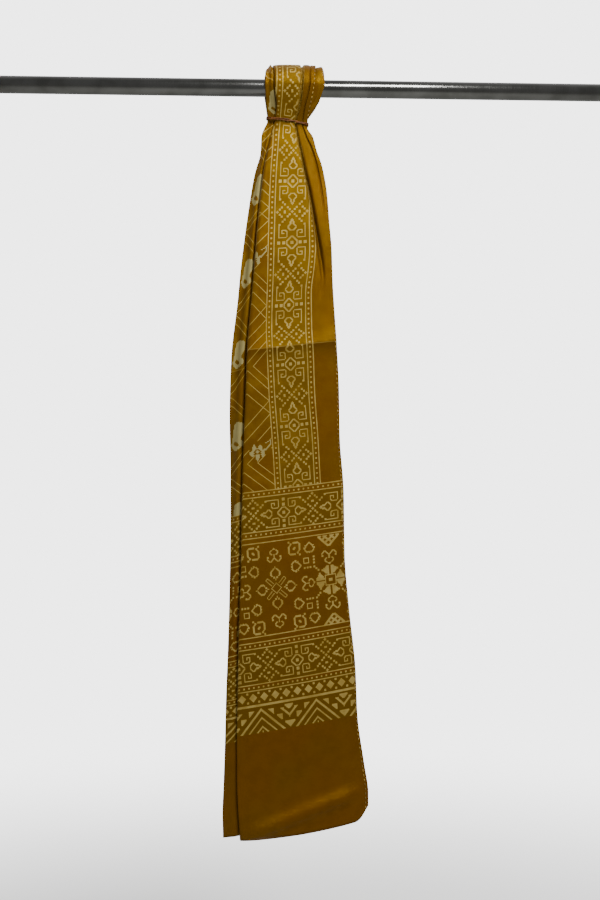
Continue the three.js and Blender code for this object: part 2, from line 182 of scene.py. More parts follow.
sky = bpy.data.worlds.new("sky")
sky.use_nodes = True
sky_nodes, sky_links = sky.node_tree.nodes, sky.node_tree.links
direction = sky_nodes.new("ShaderNodeSeparateXYZ")
sky_links.new(sky_nodes.new("ShaderNodeTexCoord").outputs["Generated"], direction.inputs[0])
room = sky_nodes.new("ShaderNodeMapRange")
room.interpolation_type = "SMOOTHSTEP"
room_range = (*ROOM_TURN, ROOM_FRONT, ROOM_BACK)
for name, number in zip(("From Min", "From Max", "To Min", "To Max"), room_range):
    room.inputs[name].default_value = number
sky_links.new(direction.outputs["Y"], room.inputs["Value"])
seen = sky_nodes.new("ShaderNodeMix")
seen.inputs["B"].default_value = BACKDROP
sky_links.new(room.outputs["Result"], seen.inputs["A"])
sky_links.new(sky_nodes.new("ShaderNodeLightPath").outputs["Is Camera Ray"], seen.inputs["Factor"])
sky_links.new(seen.outputs["Result"], sky_nodes["Background"].inputs["Strength"])
sky_nodes["Background"].inputs["Color"].default_value = (1, 1, 1, 1)
bpy.context.scene.world = sky
print("lamp in watts:", LAMP_POWER, "room's strength, front and back:", ROOM_FRONT, ROOM_BACK)

# %% [markdown]
# The next cells hold the folds. All of them are in millimetres. A place on the cloth is found
# in two steps: along the cloth, from the top of the rail down the front or the back, and across
# it, through the four layers of the stack. The innermost layer turns over the rail, leaves it in
# a straight line to the waist under the band, and hangs down from there.

# %% The line that the stack follows
RAIL_RADIUS = 12.7
RAIL_GAP = 0.66
SOLID_THICK = 1.0
FRONT_FALL = 1086.6
BACK_SHARE = 0.962
BACK_NARROWER = 0.94
BACK_RISE = -0.2
BACK_DROP = 0.3
BACK_BLEND = 150
TIE_FALL = 49
WAIST = 1.4
KINK_SOFTNESS = 1.0
OPENING = 5.6
OPENING_LENGTH = 250
LEAN_STEP = 0.5

wrap_radius = RAIL_RADIUS + RAIL_GAP + SOLID_THICK / 2
leave_angle = math.asin(wrap_radius / math.hypot(WAIST, TIE_FALL)) - math.atan2(WAIST, TIE_FALL)
leave_length = wrap_radius * (math.pi / 2 + leave_angle)
leave_fall = wrap_radius * math.sin(leave_angle)


def over_rail(degrees):
    return wrap_radius * math.radians(degrees)


def below(fall):
    return leave_length + fall - leave_fall


def mix(start, end, share):
    return start + (end - start) * share


def smooth(value):
    value = min(max(value, 0), 1)
    return value * value * (3 - 2 * value)


def spine_offset(fall):
    slope = math.tan(leave_angle)
    bend = KINK_SOFTNESS * math.log1p(math.exp((TIE_FALL - fall) * slope / KINK_SOFTNESS))
    return WAIST + bend + OPENING * smooth((fall - TIE_FALL) / OPENING_LENGTH)


def spine(side, along):
    """A place on the innermost layer, and the direction that points out of the stack there."""
    if along <= leave_length:
        turn = along / wrap_radius
        out = Vector((0, side * math.sin(turn), math.cos(turn)))
        return out * wrap_radius, out
    fall = leave_fall + along - leave_length
    lean = (spine_offset(fall + LEAN_STEP) - spine_offset(fall - LEAN_STEP)) / (2 * LEAN_STEP)
    return Vector((0, side * spine_offset(fall), -fall)), Vector((0, side, lean)).normalized()


hem_along = below(FRONT_FALL)
tie_along = below(TIE_FALL)
print("from the top of the rail to the front hem:", round(hem_along), "mm")

# %% [markdown]
# Short tables give what was measured at a few places down the cloth. The columns are named in
# the first line of each. Between the rows a smooth curve that never overshoots is used, so a
# fold doesn't wave where the table has none.

# %% Tables of the folds
OUTLINES = [
    ("along", "rise", "drop", "strip", "edge", "selvedge", "behind"),
    (over_rail(0), 0, 0, -42.5, -34, 29, 38),
    (over_rail(50), 0, 0, -44.6, -32, 27.5, 40),
    (over_rail(90), 0, 0, -45, -32.2, 26.1, 40.6),
    (below(24), -2, 0, -42.8, -28.3, 21, 29),
    (below(44), -8, -1.5, -40.8, -30, 16.8, 14),
    (below(51), -8, -1, -41, -30.8, 16.8, 14),
    (below(57), -7, 0, -44.4, -32.4, 19.6, 16),
    (below(67), -5, 3, -49.3, -35.5, 24.4, 19.5),
    (below(89), -2, 6, -50.8, -40.9, 29, 25),
    (below(118), 0, 9, -59.5, -46.8, 37.7, 32),
    (below(161), 4.4, 12, -67.4, -52.3, 44.1, 38),
    (below(205), 6, 14.5, -74, -56.9, 47.3, 41),
    (below(246), 8, 17.5, -79.5, -60.2, 50.5, 44),
    (below(290), 10.2, 20, -84, -64, 51.8, 45),
    (below(372), 13, 25, -93.5, -71.1, 56.6, 50),
    (below(450), 16, 28, -95.7, -74, 60.9, 54),
    (below(525), 17.4, 29, -94.3, -76.9, 62.4, 56),
    (below(604), 18.9, 29, -94.3, -79, 68.2, 61),
    (below(694), 21.8, 26, -95.7, -80.3, 69.6, 62),
    (below(785), 26, 20, -97.9, -83.2, 76.9, 69),
    (below(868), 29, 14, -100.8, -84.5, 85.6, 77),
    (below(937), 30.5, 5, -102.2, -85.6, 88.5, 80),
    (below(1010), 32, 0, -104.4, -85.1, 98.6, 88),
    (below(1053), 32, -2, -105.9, -83.1, 104.4, 92),
    (hem_along, 29.4, -2.5, -105.1, -81.2, 104.4, 92),
]
STACK = [
    ("along", "front", "round", "fold", "pitch", "shoulder"),
    (over_rail(0), 19.8, 1.5, 7.2, 3.2, 9.2),
    (over_rail(90), 17.5, 1.5, 6, 2.8, 4),
    (below(24), 14.5, 2, 5, 2.3, 0),
    (below(44), 11.4, 4.4, 3, 2.1, 0),
    (below(53), 11.4, 4.6, 3, 2.1, 0),
    (below(89), 17.2, 2, 7, 2.4, 0),
    (below(161), 22, 1.5, 12, 2.5, 0),
    (below(246), 24.5, 1.5, 15, 2.6, 0),
    (below(372), 24.5, 1.5, 15.5, 2.7, 0),
    (below(525), 21.5, 1.5, 12.5, 2.8, 0),
    (below(694), 18, 1.5, 9, 2.8, 0),
    (below(868), 14.5, 1.5, 5.5, 2.9, 0),
    (hem_along, 12, 1, 3, 3, 0),
]
VALLEYS = [
    ("along", "tuck", "tuck_half", "tuck_deep", "pleat", "pleat_deep"),
    (over_rail(0), 8.7, 1.7, 3, 20.7, 0.9),
    (over_rail(90), 7.3, 1.7, 4.2, 18.9, 3),
    (below(24), 4.4, 1.5, 3.8, 12.3, 3.2),
    (below(44), -0.7, 1.3, 3, 9.4, 2.2),
    (below(67), 1.9, 1.4, 4, 14.5, 3),
    (below(89), 5.8, 1.5, 5, 22.6, 2.8),
    (below(118), 11.2, 1.6, 6, 30.3, 2.4),
    (below(161), 19.6, 1.8, 6.6, 36.8, 1.2),
    (below(205), 26.5, 2.2, 7, 41, 0),
    (below(246), 33, 2.8, 6.6, 44, 0),
    (below(270), 36.3, 2.4, 4, 45.5, 0),
    (below(290), 37.7, 2.4, 0.8, 46, 0),
    (below(322), 34, 2.5, 0, 46, 0),
    (below(450), 24, 3, 0, 44, 0),
    (hem_along, 49, 3, 0, 80, 0),
]


def value_at(table, column, along):
    place = table[0].index(column)
    rows = table[1:]
    if along <= rows[0][0]:
        return rows[0][place]
    if along >= rows[-1][0]:
        return rows[-1][place]
    i = max(k for k in range(len(rows) - 1) if rows[k][0] < along)

    def slope(k):
        return (rows[k + 1][place] - rows[k][place]) / (rows[k + 1][0] - rows[k][0])

    def tangent(k):
        if k == 0 or k == len(rows) - 1:
            return 0
        before, after = slope(k - 1), slope(k)
        return 2 * before * after / (before + after) if before * after > 0 else 0

    span = rows[i + 1][0] - rows[i][0]
    t = (along - rows[i][0]) / span
    start = tangent(i) * span * t * (1 - t) ** 2
    end = tangent(i + 1) * span * t * t * (1 - t)
    return mix(rows[i][place], rows[i + 1][place], smooth(t)) + start - end


print("rows in the tables:", len(OUTLINES) - 1, len(STACK) - 1, len(VALLEYS) - 1)

# %% [markdown]
# The print lies flat on the cloth, and the folds carry it along. So each place across the front
# layer also needs its distance from the selvedge on the flat cloth. This table gives it, as the
# print shows it: on both lips of the deep tuck, which swallows part of the border, at the inner
# dotted line of the border, which lies 97 mm in, and at the edge fold. Hanging has also drawn the
# layers down by different amounts, so a second table says how far each shifts the print.

# %% Table of where the print lies
INNER_LINE = 97
PRINT_PLACES = [
    ("along", "right_x", "right_u", "left_x", "left_u", "inner_x", "edge_u"),
    (over_rail(0), 11.8, 32, 5.6, 68, -23.9, 106),
    (over_rail(90), 10.4, 32, 4.2, 68, -24, 105),
    (below(24), 7.1, 28, 1.7, 68, -25.4, 101),
    (below(44), 1.6, 25, -3, 68, -26.1, 101),
    (below(67), 4.4, 27, -0.6, 65, -28.3, 104),
    (below(89), 8.5, 32, 3.1, 59, -30, 109),
    (below(118), 14.1, 28, 8.3, 53, -32.3, 112.5),
    (below(161), 22.8, 22, 16.4, 44, -34.5, 115),
    (below(205), 30.5, 20, 22.5, 37, -35.8, 118),
    (below(246), 38, 18, 28, 32, -37.1, 121.5),
    (below(270), 33, 24, 24, 34, -37.6, 124),
    (below(308), 17.3, 36.5, 16.3, 37.5, -38.9, 128),
    (below(353), 17.5, 36.5, 16.5, 37.5, -39.9, 131.4),
    (below(404), 20.2, 36.5, 19.2, 37.5, -37.9, 135.8),
    (below(450), 21.8, 36.5, 20.8, 37.5, -35.7, 138.2),
    (below(525), 27.5, 36.5, 26.5, 37.5, -30, 145),
    (below(572), 30, 36.5, 29, 37.5, -27.1, 148.5),
    (below(604), 31.9, 36.5, 30.9, 37.5, -25.3, 151),
    (below(676), 34.7, 36.5, 33.7, 37.5, -22.3, 157.5),
    (below(741), 39.5, 36.5, 38.5, 37.5, -17.4, 165.2),
    (below(780), 43.1, 36.5, 42.1, 37.5, -13.9, 169.5),
    (below(937), 56.2, 36.5, 55.2, 37.5, -0.4, 187),
    (hem_along, 72.7, 36.5, 71.7, 37.5, 17.1, 203),
]
PRINT_SHIFTS = [
    ("along", "front_shift", "strip_shift"),
    (over_rail(0), 5.5, 21),
    (below(24), 9.5, 21),
    (below(89), 9, 22),
    (below(150), 9.8, 23),
    (below(270), 9.3, 18),
    (below(300), 8.6, 16),
    (below(343), 9.8, 13.5),
    (below(356), 9.2, 12.8),
    (below(372), 6.8, 12),
    (below(390), 5.8, 11.5),
    (below(500), 5.1, 10),
    (below(600), 3.1, 9),
    (below(700), 1.4, 8),
    (below(800), 0, 7.5),
    (hem_along, 0.3, 6.6),
]
CLOTH_WIDE = 840
STRIP_U = 630
HIDDEN_REACH = 0.93
NARROWED = [
    "strip", "edge", "selvedge", "behind", "hidden",
    "tuck", "pleat", "right_x", "left_x", "inner_x",
]


def row_at(side, along):
    """Everything that the tables say about one row of the cloth."""
    is_back = side > 0 and along > tie_along
    key = tie_along + (along - tie_along) / BACK_SHARE if is_back else along
    row = {"side": side, "along": along}
    for table in (OUTLINES, STACK, VALLEYS, PRINT_PLACES, PRINT_SHIFTS):
        for column in table[0][1:]:
            row[column] = value_at(table, column, key)
    row["hidden"] = mix(row["edge"], row["behind"], HIDDEN_REACH)
    if is_back:
        middle = (row["strip"] + row["selvedge"]) / 2
        away = smooth((along - tie_along) / BACK_BLEND)
        for column in NARROWED:
            row[column] = mix(row[column], middle + (row[column] - middle) * BACK_NARROWER, away)
        row["rise"] *= mix(1, BACK_RISE, away)
        row["drop"] *= mix(1, BACK_DROP, away)
        row["front_shift"] *= 1 - away
        row["strip_shift"] *= 1 - away
    return row


print("rows in the print's tables:", len(PRINT_PLACES) - 1, len(PRINT_SHIFTS) - 1)

# %% [markdown]
# The front layer rises over the stack and dips into two valleys that the gathering draws in.
# The three hidden layers are pleated, one inside the other. A weft thread doesn't run level:
# it rises towards the selvedge, because the cloth hangs from its edge fold.

# %% Depth and rise of the layers
PLEAT_HALF = 0.9
PLEAT_COUNT = 3
FIRST_CREST = -0.045
PLEAT_LOSS = 0.6
SMALL_CREST = 0.6
SHOULDER_START = 1
SHOULDER_WIDE = 2.5
STRIP_MARGIN = 0.3
END_MARGIN = 0.5
TURN_SHARE = 0.3
TURN_MOST = 2.6
LIP_SHARE = 1.8
FLOOR_SHARE = 0.5
CORNER_WIDE = 21
CORNER_HIGH = 21.5
CORNER_DEEP = 26
CORNER_BOW = 2.3
BEND_FROM = 1000
BEND_LENGTH = 86
LEAST_BEND = 0.1
ADDED_BEND = 0.8


def valley(offset, half, deep):
    return deep / (1 + (offset / half) ** 4)


def front_depth(row, x):
    across = (x - row["edge"]) / (row["selvedge"] - row["edge"])
    tuck = valley(x - row["tuck"], row["tuck_half"], row["tuck_deep"])
    pleat = valley(x - row["pleat"], PLEAT_HALF, row["pleat_deep"])
    return row["front"] - row["round"] * (2 * across - 1) ** 4 - tuck - pleat


def hidden_depth(row, x, level):
    across = (x - row["edge"]) / (row["selvedge"] - row["edge"])
    crests = PLEAT_COUNT * (across - FIRST_CREST)
    high = abs(2 * (crests % 1) - 1)
    crest_share = 2 * high - 1 if high > 0.5 else SMALL_CREST * (1 - 2 * high)
    overhang = row["behind"] - row["selvedge"]
    past = smooth((x - row["selvedge"]) / overhang) if overhang > 0 else 0
    outside = max(row["edge"] - x, x - row["selvedge"]) + SHOULDER_START
    raised = row["shoulder"] * smooth(outside / SHOULDER_WIDE)
    return level * row["pitch"] + row["fold"] * crest_share * (1 - PLEAT_LOSS * past) + raised


def front_lift(row, x):
    across = (x - row["edge"]) / (row["selvedge"] - row["edge"])
    bend = LEAST_BEND + ADDED_BEND * smooth((row["along"] - below(BEND_FROM)) / BEND_LENGTH)
    lift = row["rise"] * ((1 - bend) * across + bend * across * across)
    start = row["selvedge"] - CORNER_WIDE
    if row["side"] < 0 and x > start:
        near_hem = max(0, 1 - (hem_along - row["along"]) / CORNER_DEEP)
        lift += CORNER_HIGH * near_hem ** 2 * ((x - start) / CORNER_WIDE) ** CORNER_BOW
    return lift


def hidden_lift(row, x):
    return mix(-row["drop"], row["rise"], (x - row["strip"]) / (row["selvedge"] - row["strip"]))


print("the front layer lies out from the innermost one, over the rail and at the hem, in mm:",
      round(front_depth(row_at(-1, over_rail(0)), 0), 1),
      round(front_depth(row_at(-1, hem_along), 0), 1))

# %% [markdown]
# The front layer runs from its selvedge on the right to the edge fold on the left. The key
# places of a row are few, and each stretch between two of them gets the same number of steps, so
# columns of the mesh run down the cloth along its valleys.

# %% Places across the front layer
FRONT_STEPS = 4
RIGHT_SHARES = (0.35, 0.7)
LEFT_SHARES = (0.3, 0.6, 0.85)


def spread(keys, steps):
    places = [mix(a, b, k / steps) for a, b in zip(keys, keys[1:]) for k in range(steps)]
    return places + [keys[-1]]


def front_keys(row, edge_x):
    pleat_right = row["pleat"] + LIP_SHARE * PLEAT_HALF
    pleat_left = row["pleat"] - LIP_SHARE * PLEAT_HALF
    tuck_right = row["tuck"] + LIP_SHARE * row["tuck_half"]
    tuck_left = row["tuck"] - LIP_SHARE * row["tuck_half"]
    tuck_floor = FLOOR_SHARE * row["tuck_half"]
    return [
        row["selvedge"],
        *[mix(row["selvedge"], pleat_right, share) for share in RIGHT_SHARES],
        pleat_right,
        row["pleat"],
        pleat_left,
        mix(pleat_left, tuck_right, 0.5),
        tuck_right,
        row["tuck"] + tuck_floor,
        row["tuck"] - tuck_floor,
        tuck_left,
        *[mix(tuck_left, edge_x, share) for share in LEFT_SHARES],
        edge_x,
    ]


def print_u(row, x):
    """How far a place on the front layer lies from the selvedge on the flat cloth."""
    knots = [
        (row["selvedge"], 0),
        (row["right_x"], row["right_u"]),
        (row["left_x"], row["left_u"]),
        (row["inner_x"], INNER_LINE),
        (row["edge"], row["edge_u"]),
    ]
    for (x0, u0), (x1, u1) in zip(knots, knots[1:]):
        if x >= x1 or x1 == row["edge"]:
            return mix(u0, u1, (x - x0) / (x1 - x0))


front_stretches = len(front_keys(row_at(-1, hem_along), 0)) - 1
print("stretches across the front layer:", front_stretches)

# %% [markdown]
# Behind it the cloth goes on through the stack: a half turn at the edge fold, the second layer
# back to the right, and so on to the other selvedge. The hidden layers get their key places at
# the crests and troughs of their pleats.

# %% Section of the stack at one row
HIDDEN_STEPS = 3
TURN_STEPS = 6


def half_turn(start, end, x, reach):
    """The places round a fold, between the last of one layer and the first of the next."""
    places = []
    for step in range(1, TURN_STEPS):
        turn = math.pi * step / TURN_STEPS
        share = (1 - math.cos(turn)) / 2
        others = [mix(a, b, share) for a, b in zip(start[1:], end[1:])]
        places.append([x + reach * math.sin(turn), *others])
    return places


def lengths(places):
    total = [0]
    for (x0, depth0, *_), (x1, depth1, *_) in zip(places, places[1:]):
        total.append(total[-1] + math.hypot(x1 - x0, depth1 - depth0))
    return total


def flat_share(done, whole, span):
    """Flat distance for a distance along a layer: true at its start, and right at its end."""
    return done + (span - whole) * (done / whole) ** 3


def section_at(row):
    edge_high = row["front"] - hidden_depth(row, row["edge"], 2)
    edge_reach = min(TURN_MOST, TURN_SHARE * edge_high)
    fold_reach = row["pitch"] / 2
    edge_x = row["edge"] + edge_reach
    behind_x = row["behind"] - fold_reach
    strip_x = row["strip"] + fold_reach
    least = mix(strip_x, row["edge"], STRIP_MARGIN)
    crease_count = 4 * PLEAT_COUNT
    shares = [FIRST_CREST + k / crease_count for k in range(crease_count + 1)]
    first, *creases = [max(mix(row["edge"], row["selvedge"], share), least) for share in shares]
    near_behind = [min(x, behind_x - END_MARGIN) for x in creases]
    near_hidden = [min(x, row["hidden"] - END_MARGIN) for x in creases]
    layer_keys = [
        [edge_x, *near_behind, behind_x],
        [behind_x, *near_behind[::-1], first, strip_x],
        [strip_x, first, *near_hidden, row["hidden"]],
    ]
    behind_u = (row["edge_u"] + STRIP_U) / 2
    layer_u = [(row["edge_u"], behind_u), (STRIP_U, behind_u), (STRIP_U, CLOTH_WIDE)]
    section = []
    for x in spread(front_keys(row, edge_x), FRONT_STEPS):
        section.append([x, front_depth(row, x), front_lift(row, x), print_u(row, x)])
    ends = [(edge_x, -edge_reach), (behind_x, fold_reach), (strip_x, -fold_reach)]
    for level, keys, (start_u, end_u), (turn_x, reach) in zip((2, 1, 0), layer_keys, layer_u, ends):
        xs = spread(keys, HIDDEN_STEPS)
        layer = [[x, hidden_depth(row, x, level), hidden_lift(row, x)] for x in xs]
        done = lengths(layer if level != 1 else layer[::-1])
        span = end_u - start_u
        way = math.copysign(1, span)
        flat = [start_u + way * flat_share(d, done[-1], abs(span)) for d in done]
        if level == 1:
            flat = flat[::-1]
        layer = [place + [u] for place, u in zip(layer, flat)]
        section += half_turn(section[-1], layer[0], turn_x, reach)
        section += layer
    return section


print("places in one row:", len(section_at(row_at(-1, hem_along))))

# %% [markdown]
# Down the cloth the rows stand closer where it bends over the rail and is gathered, and further
# apart on the long falls.

# %% Rows of the sheet
def steps_between(stops):
    falls = []
    for (start, step), (end, _) in zip(stops, stops[1:]):
        count = round((end - start) / step)
        falls += [mix(start, end, k / count) for k in range(count)]
    return falls


FRONT_STOPS = [
    (14, 3.2), (70, 4), (130, 6), (355, 2.5),
    (385, 6), (421, 13), (950, 5), (FRONT_FALL, 1),
]
BACK_STOPS = [(14, 5), (70, 8), (130, 22), (1046, 1)]
RAIL_STEP = 7.5

front_falls = steps_between(FRONT_STOPS) + [FRONT_FALL]
back_falls = steps_between(BACK_STOPS) + [BACK_STOPS[-1][0]]
angles = [RAIL_STEP * k for k in range(round(90 / RAIL_STEP) + 1)]
row_list = [(-1, below(fall)) for fall in reversed(front_falls)]
row_list += [(-1, over_rail(angle)) for angle in reversed(angles)]
row_list += [(1, over_rail(angle)) for angle in angles[1:]]
row_list += [(1, below(fall)) for fall in back_falls]
rows = [row_at(side, along) for side, along in row_list]
sections = [section_at(row) for row in rows]
row_count = len(sections)
column_count = len(sections[0])
print("rows and columns of the sheet:", row_count, column_count)

# %% [markdown]
# The silk keeps the marks of how it was packed and pressed. These are the main ones, placed on
# the front layer: a sharp press crease, a second one lower down, the soft slanting ridge above
# the hem that catches the light, and broad shallow troughs. Each is a line between two places,
# with a half width and a height. A sharp one stands like a tent that falls off more steeply
# below, a soft one like a wave.

# %% Creases
CREASES = [
    ("x0", "fall0", "x1", "fall1", "half", "high", "sharp"),
    (-49, 381, 58, 368, 16, 4.6, True),
    (5, 690, 62, 668, 12, 2.6, True),
    (-42, 1069, 52, 1032, 10.5, 8.5, False),
    (-40, 1010, 80, 966, 22, -2, False),
    (-60, 560, 40, 520, 34, -1.2, False),
    (-70, 800, 60, 870, 45, 1.4, False),
    (-60, 960, 70, 930, 40, -1.3, False),
    (-45, 240, 20, 200, 30, 0.9, False),
]
SHARP_BELOW = 1.9
CREASE_REACH = 4
CREASE_ENDS = 0.6
UNEVEN_SIZE = 42
UNEVEN_HIGH = 0.9
UNEVEN_STRETCH = 0.6
UNEVEN_APART = 90
FINE_SIZE = 13
FINE_HIGH = 0.18
FINE_STRETCH = 0.5
FINE_APART = 40


def crease_height(x, fall):
    height = 0
    for x0, fall0, x1, fall1, half, high, sharp in CREASES[1:]:
        length = math.hypot(x1 - x0, fall1 - fall0)
        run, drop = (x1 - x0) / length, (fall1 - fall0) / length
        done = ((x - x0) * run + (fall - fall0) * drop) / length
        aside = ((fall - fall0) * run - (x - x0) * drop) / half
        if sharp and aside > 0:
            aside *= SHARP_BELOW
        aside = abs(aside)
        if aside > CREASE_REACH or not -CREASE_ENDS < done < 1 + CREASE_ENDS:
            continue
        ends = smooth(1 - max(0, -done, done - 1) / CREASE_ENDS)
        height += high * ends * (math.exp(-aside) if sharp else math.exp(-aside * aside))
    return height


def unevenness(x, fall, layer):
    broad = noise.noise(Vector((x, fall * UNEVEN_STRETCH, layer * UNEVEN_APART)) / UNEVEN_SIZE)
    fine = noise.noise(Vector((x, fall * FINE_STRETCH, layer * FINE_APART)) / FINE_SIZE)
    return UNEVEN_HIGH * broad + FINE_HIGH * fine


print("creases:", len(CREASES) - 1)

# %% [markdown]
# The cloth starts as it lay on the table: a flat grid of the right number of threads. Then each
# corner of the grid is carried to its folded place, and its place on the flat cloth is written
# into the UV map, in metres. The print reads that map, so it bends with every fold. A thin
# Solidify gives the silk its edge, and the print shows through on its wrong side as well.

# %% The folded sheet
SILK_THICK = 0.5
LENGTH_COLUMN = 26
TURN_COLUMNS = 30
UNEVEN_COLUMNS = 30
BACK_LAYERS = 5
CALM_FROM = 60
CALM_LENGTH = 160
CALM_SHARE = 0.25
HIDDEN_SHARE = 0.5
front_columns = FRONT_STEPS * front_stretches


def flat_place(row_number, column):
    """Where this corner of the grid lies on the flat cloth, in millimetres."""
    row = rows[row_number]
    behind = smooth((column - front_columns) / TURN_COLUMNS)
    shift = mix(row["front_shift"], row["strip_shift"], behind)
    return sections[row_number][column][3], v_places[row_number] + shift


def folded_place(row_number, column):
    side, along = row_list[row_number]
    x, depth, lift, _ = sections[row_number][column]
    place, out = spine(side, along - lift)
    return Vector((x, 0, 0)) + place + out * depth, out


def pressed_place(row_number, column):
    """The folded place with the creases and the silk's unevenness, which fade out at the tie."""
    place, out = folded_place(row_number, column)
    side, along = row_list[row_number]
    fall = -place.z
    free = smooth((fall - CALM_FROM) / CALM_LENGTH)
    hidden_columns = column - front_columns
    layer = 0 if hidden_columns <= 0 else 1 + hidden_columns // UNEVEN_COLUMNS
    if side > 0:
        layer += BACK_LAYERS
    extra = unevenness(place.x, fall, layer) * mix(CALM_SHARE, 1, free)
    if side < 0 and hidden_columns <= TURN_STEPS:
        extra += crease_height(place.x, fall) * free
    if hidden_columns > TURN_STEPS:
        extra *= HIDDEN_SHARE
    return place + out * extra


v_places = [0]
for number in range(1, row_count):
    step = folded_place(number, LENGTH_COLUMN)[0] - folded_place(number - 1, LENGTH_COLUMN)[0]
    v_places.append(v_places[-1] + step.length)
cloth_long = v_places[-1]
print("length of the cloth in mm:", round(cloth_long))

cloth_shape = bmesh.new()
bmesh.ops.create_grid(
    cloth_shape, x_segments=column_count - 1, y_segments=row_count - 1, size=1
)
cloth_shape.verts.ensure_lookup_table()
flat_places = []
for corner in cloth_shape.verts:
    row_number, column = divmod(corner.index, column_count)
    corner.co = pressed_place(row_number, column) * MM
    flat_places.append([value * MM for value in flat_place(row_number, column)])
uv_layer = cloth_shape.loops.layers.uv.new("UVMap")
for face in cloth_shape.faces:
    for loop in face.loops:
        loop[uv_layer].uv = flat_places[loop.vert.index]
cloth = finished("silk_cloth", cloth_shape)
thickness = cloth.modifiers.new("silk_thickness", "SOLIDIFY")
thickness.thickness = SILK_THICK * MM
thickness.offset = 0
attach(cloth, "root")
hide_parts("dupatta")

# %% [markdown]
# The print is a small counted pattern, as on a tied and dyed cloth: every motif is built from
# square stitches of about a millimetre and a half. So the small repeats are charted, one line of
# text for each row of stitches. A chart holds a half or a quarter of its motif, and the rest is
# its mirror image.

# %% Charts of the border and the chevron row
CELL = 1.475
BORDER_CHART = [
    "##...#.###..###..",
    "##...#.###..###..",
    "....##...........",
    "...##............",
    "..##.............",
    ".##...########...",
    "##...#.......#...",
    ".....#.......#...",
    ".....#.......#...",
    ".....#..###..#...",
    ".....#....#..#...",
    ".....##...#..#...",
    "###...#####..#...",
    "..##.........#...",
    "...##........#...",
    "....#........#...",
    "...##........#...",
    "..##........##...",
    ".##.........##...",
    ".##..............",
    ".##......##......",
    "##.......##......",
    "##.....##........",
    "#......##........",
    ".................",
    "....##....##.....",
    "....##....##.....",
    "..##........##...",
    "..##........##...",
    "#......##......#.",
    "##.....##.....###",
]
CHEVRON_CHART = [
    "...............................",
    "#.........................#####",
    "##........................#####",
    "###.....######.............####",
    ".###.....#####.......####...###",
    "..###.....####........###....##",
    "...###.....###.........###.....",
    "....###.....##..........###....",
    ".....###.....#...........###...",
    "......###.................###..",
    "#......###.......######....###.",
    "##......###......######.....###",
    ".##......###......#####......##",
    "..##......###......####.......#",
    "...##......###......###.......#",
    "....##......###......##........",
    ".....##......###...............",
    "......##......###..............",
    ".......##......###.......######",
    "#.......##......###......######",
    "##.......##......###......#####",
    ".##.......##......###......####",
    "..##.......##......###......###",
    "...##.......##......###......##",
    "#...##.......##......###......#",
    "#....##.......##......###......",
]
print("stitches in the border's repeat:", 4 * sum(row.count("#") for row in BORDER_CHART))

# %% [markdown]
# The wide end panel sets its motifs further apart, and each motif has its own small chart. The
# rosette and the cross flower look the same across four lines, so one eighth of each is enough.

# %% Charts of the rosette and the cross flower
ROSETTE_EIGHTH = [
    "#",
    "##",
    "...",
    "....",
    ".....",
    "######",
    ".##....",
    ".####...",
    ".#####...",
    ".######...",
    ".########..",
    ".########...",
    ".######......",
    ".####.........",
    ".###...........",
]
CROSS_EIGHTH = [
    ".",
    "..",
    "...",
    "..#.",
    ".#...",
    "#..#..",
    "....#..",
    ".....#..",
    "#.....#..",
    "#......#..",
    ".##.....##.",
    ".##.........",
    "...##........",
    "....##........",
    "....##.........",
    "....##..........",
    "....##...........",
    "...##.............",
    "..##...............",
    ".##.................",
    "#....................",
    "#.....................",
]
print("lines in the two eighths:", len(ROSETTE_EIGHTH), len(CROSS_EIGHTH))

# %% [markdown]
# The motifs between them are charted whole: a square with hooks, a leaf, a trefoil, a box, a
# branch with dots and the triangle at the panel's edge.

# %% Charts of the small motifs
SQUARE = [
    "............##.",
    "...######...##.",
    "..#######.##...",
    ".##.......##...",
    ".##........##..",
    ".##.........##.",
    ".##...##....##.",
    ".##...###...##.",
    ".##....##...##.",
    ".##.........##.",
    "..##........##.",
    "...##.......##.",
    "...##.#######..",
    ".##...######...",
    ".##............",
]
LEAF = [
    "....##.....",
    "..####.#...",
    ".##..###...",
    "##.....##..",
    ".#......##.",
    "##.......##",
    "##.......##",
    ".#......##.",
    "##.....##..",
    ".##..###...",
    "..####.#...",
    "....##.....",
]
TREFOIL = [
    "........#........",
    ".......###.......",
    ".....##...##.....",
    "....##.....##....",
    "....#.......#....",
    "....##.....##....",
    ".....##.#.##.....",
    "........#........",
    ".##.....#.....##.",
    ".##.....#.....##.",
    ".#.....###.....#.",
    ".##...##.##...##.",
    "..##.##...##.##..",
    "...###.....###...",
]
BOX = [
    "######",
    "#....#",
    "#....#",
    "#....#",
    "#....#",
    "######",
]
BRANCH = [
    "...............##.",
    "...............##.",
    ".............##...",
    ".............##...",
    ".##.##.##..##.....",
    ".##.##.##..##.....",
    "..................",
    "..................",
    "...........##.....",
    "...........##.....",
    "..................",
    "...........##.....",
    "...........##.....",
    "..................",
    "...........##.....",
    "...........##.....",
]
TRIANGLE = [
    "####.#####.#####.####",
    "###...###...###...###",
    ".###.#####.#####.###.",
    "..#####.#####.#####..",
    "...###...###...###...",
    "....###.#####.###....",
    ".....#####.#####.....",
    "......###...###......",
    ".......###.###.......",
    "........#####........",
    ".........###.........",
]


def stitches_in(chart):
    return sum(line.count("#") for line in chart)


small_motifs = (SQUARE, LEAF, TREFOIL, BOX, BRANCH, TRIANGLE)
print("stitches in the small motifs:", [stitches_in(chart) for chart in small_motifs])

# %% [markdown]
# A short table says where each motif is stamped on a quarter of the panel. The quarter runs from
# the cross flower's axis to the rosette's, and from the panel's middle line to its edge.

# %% The stamped end panel
HALF_WIDE = 57
HALF_HIGH = 45


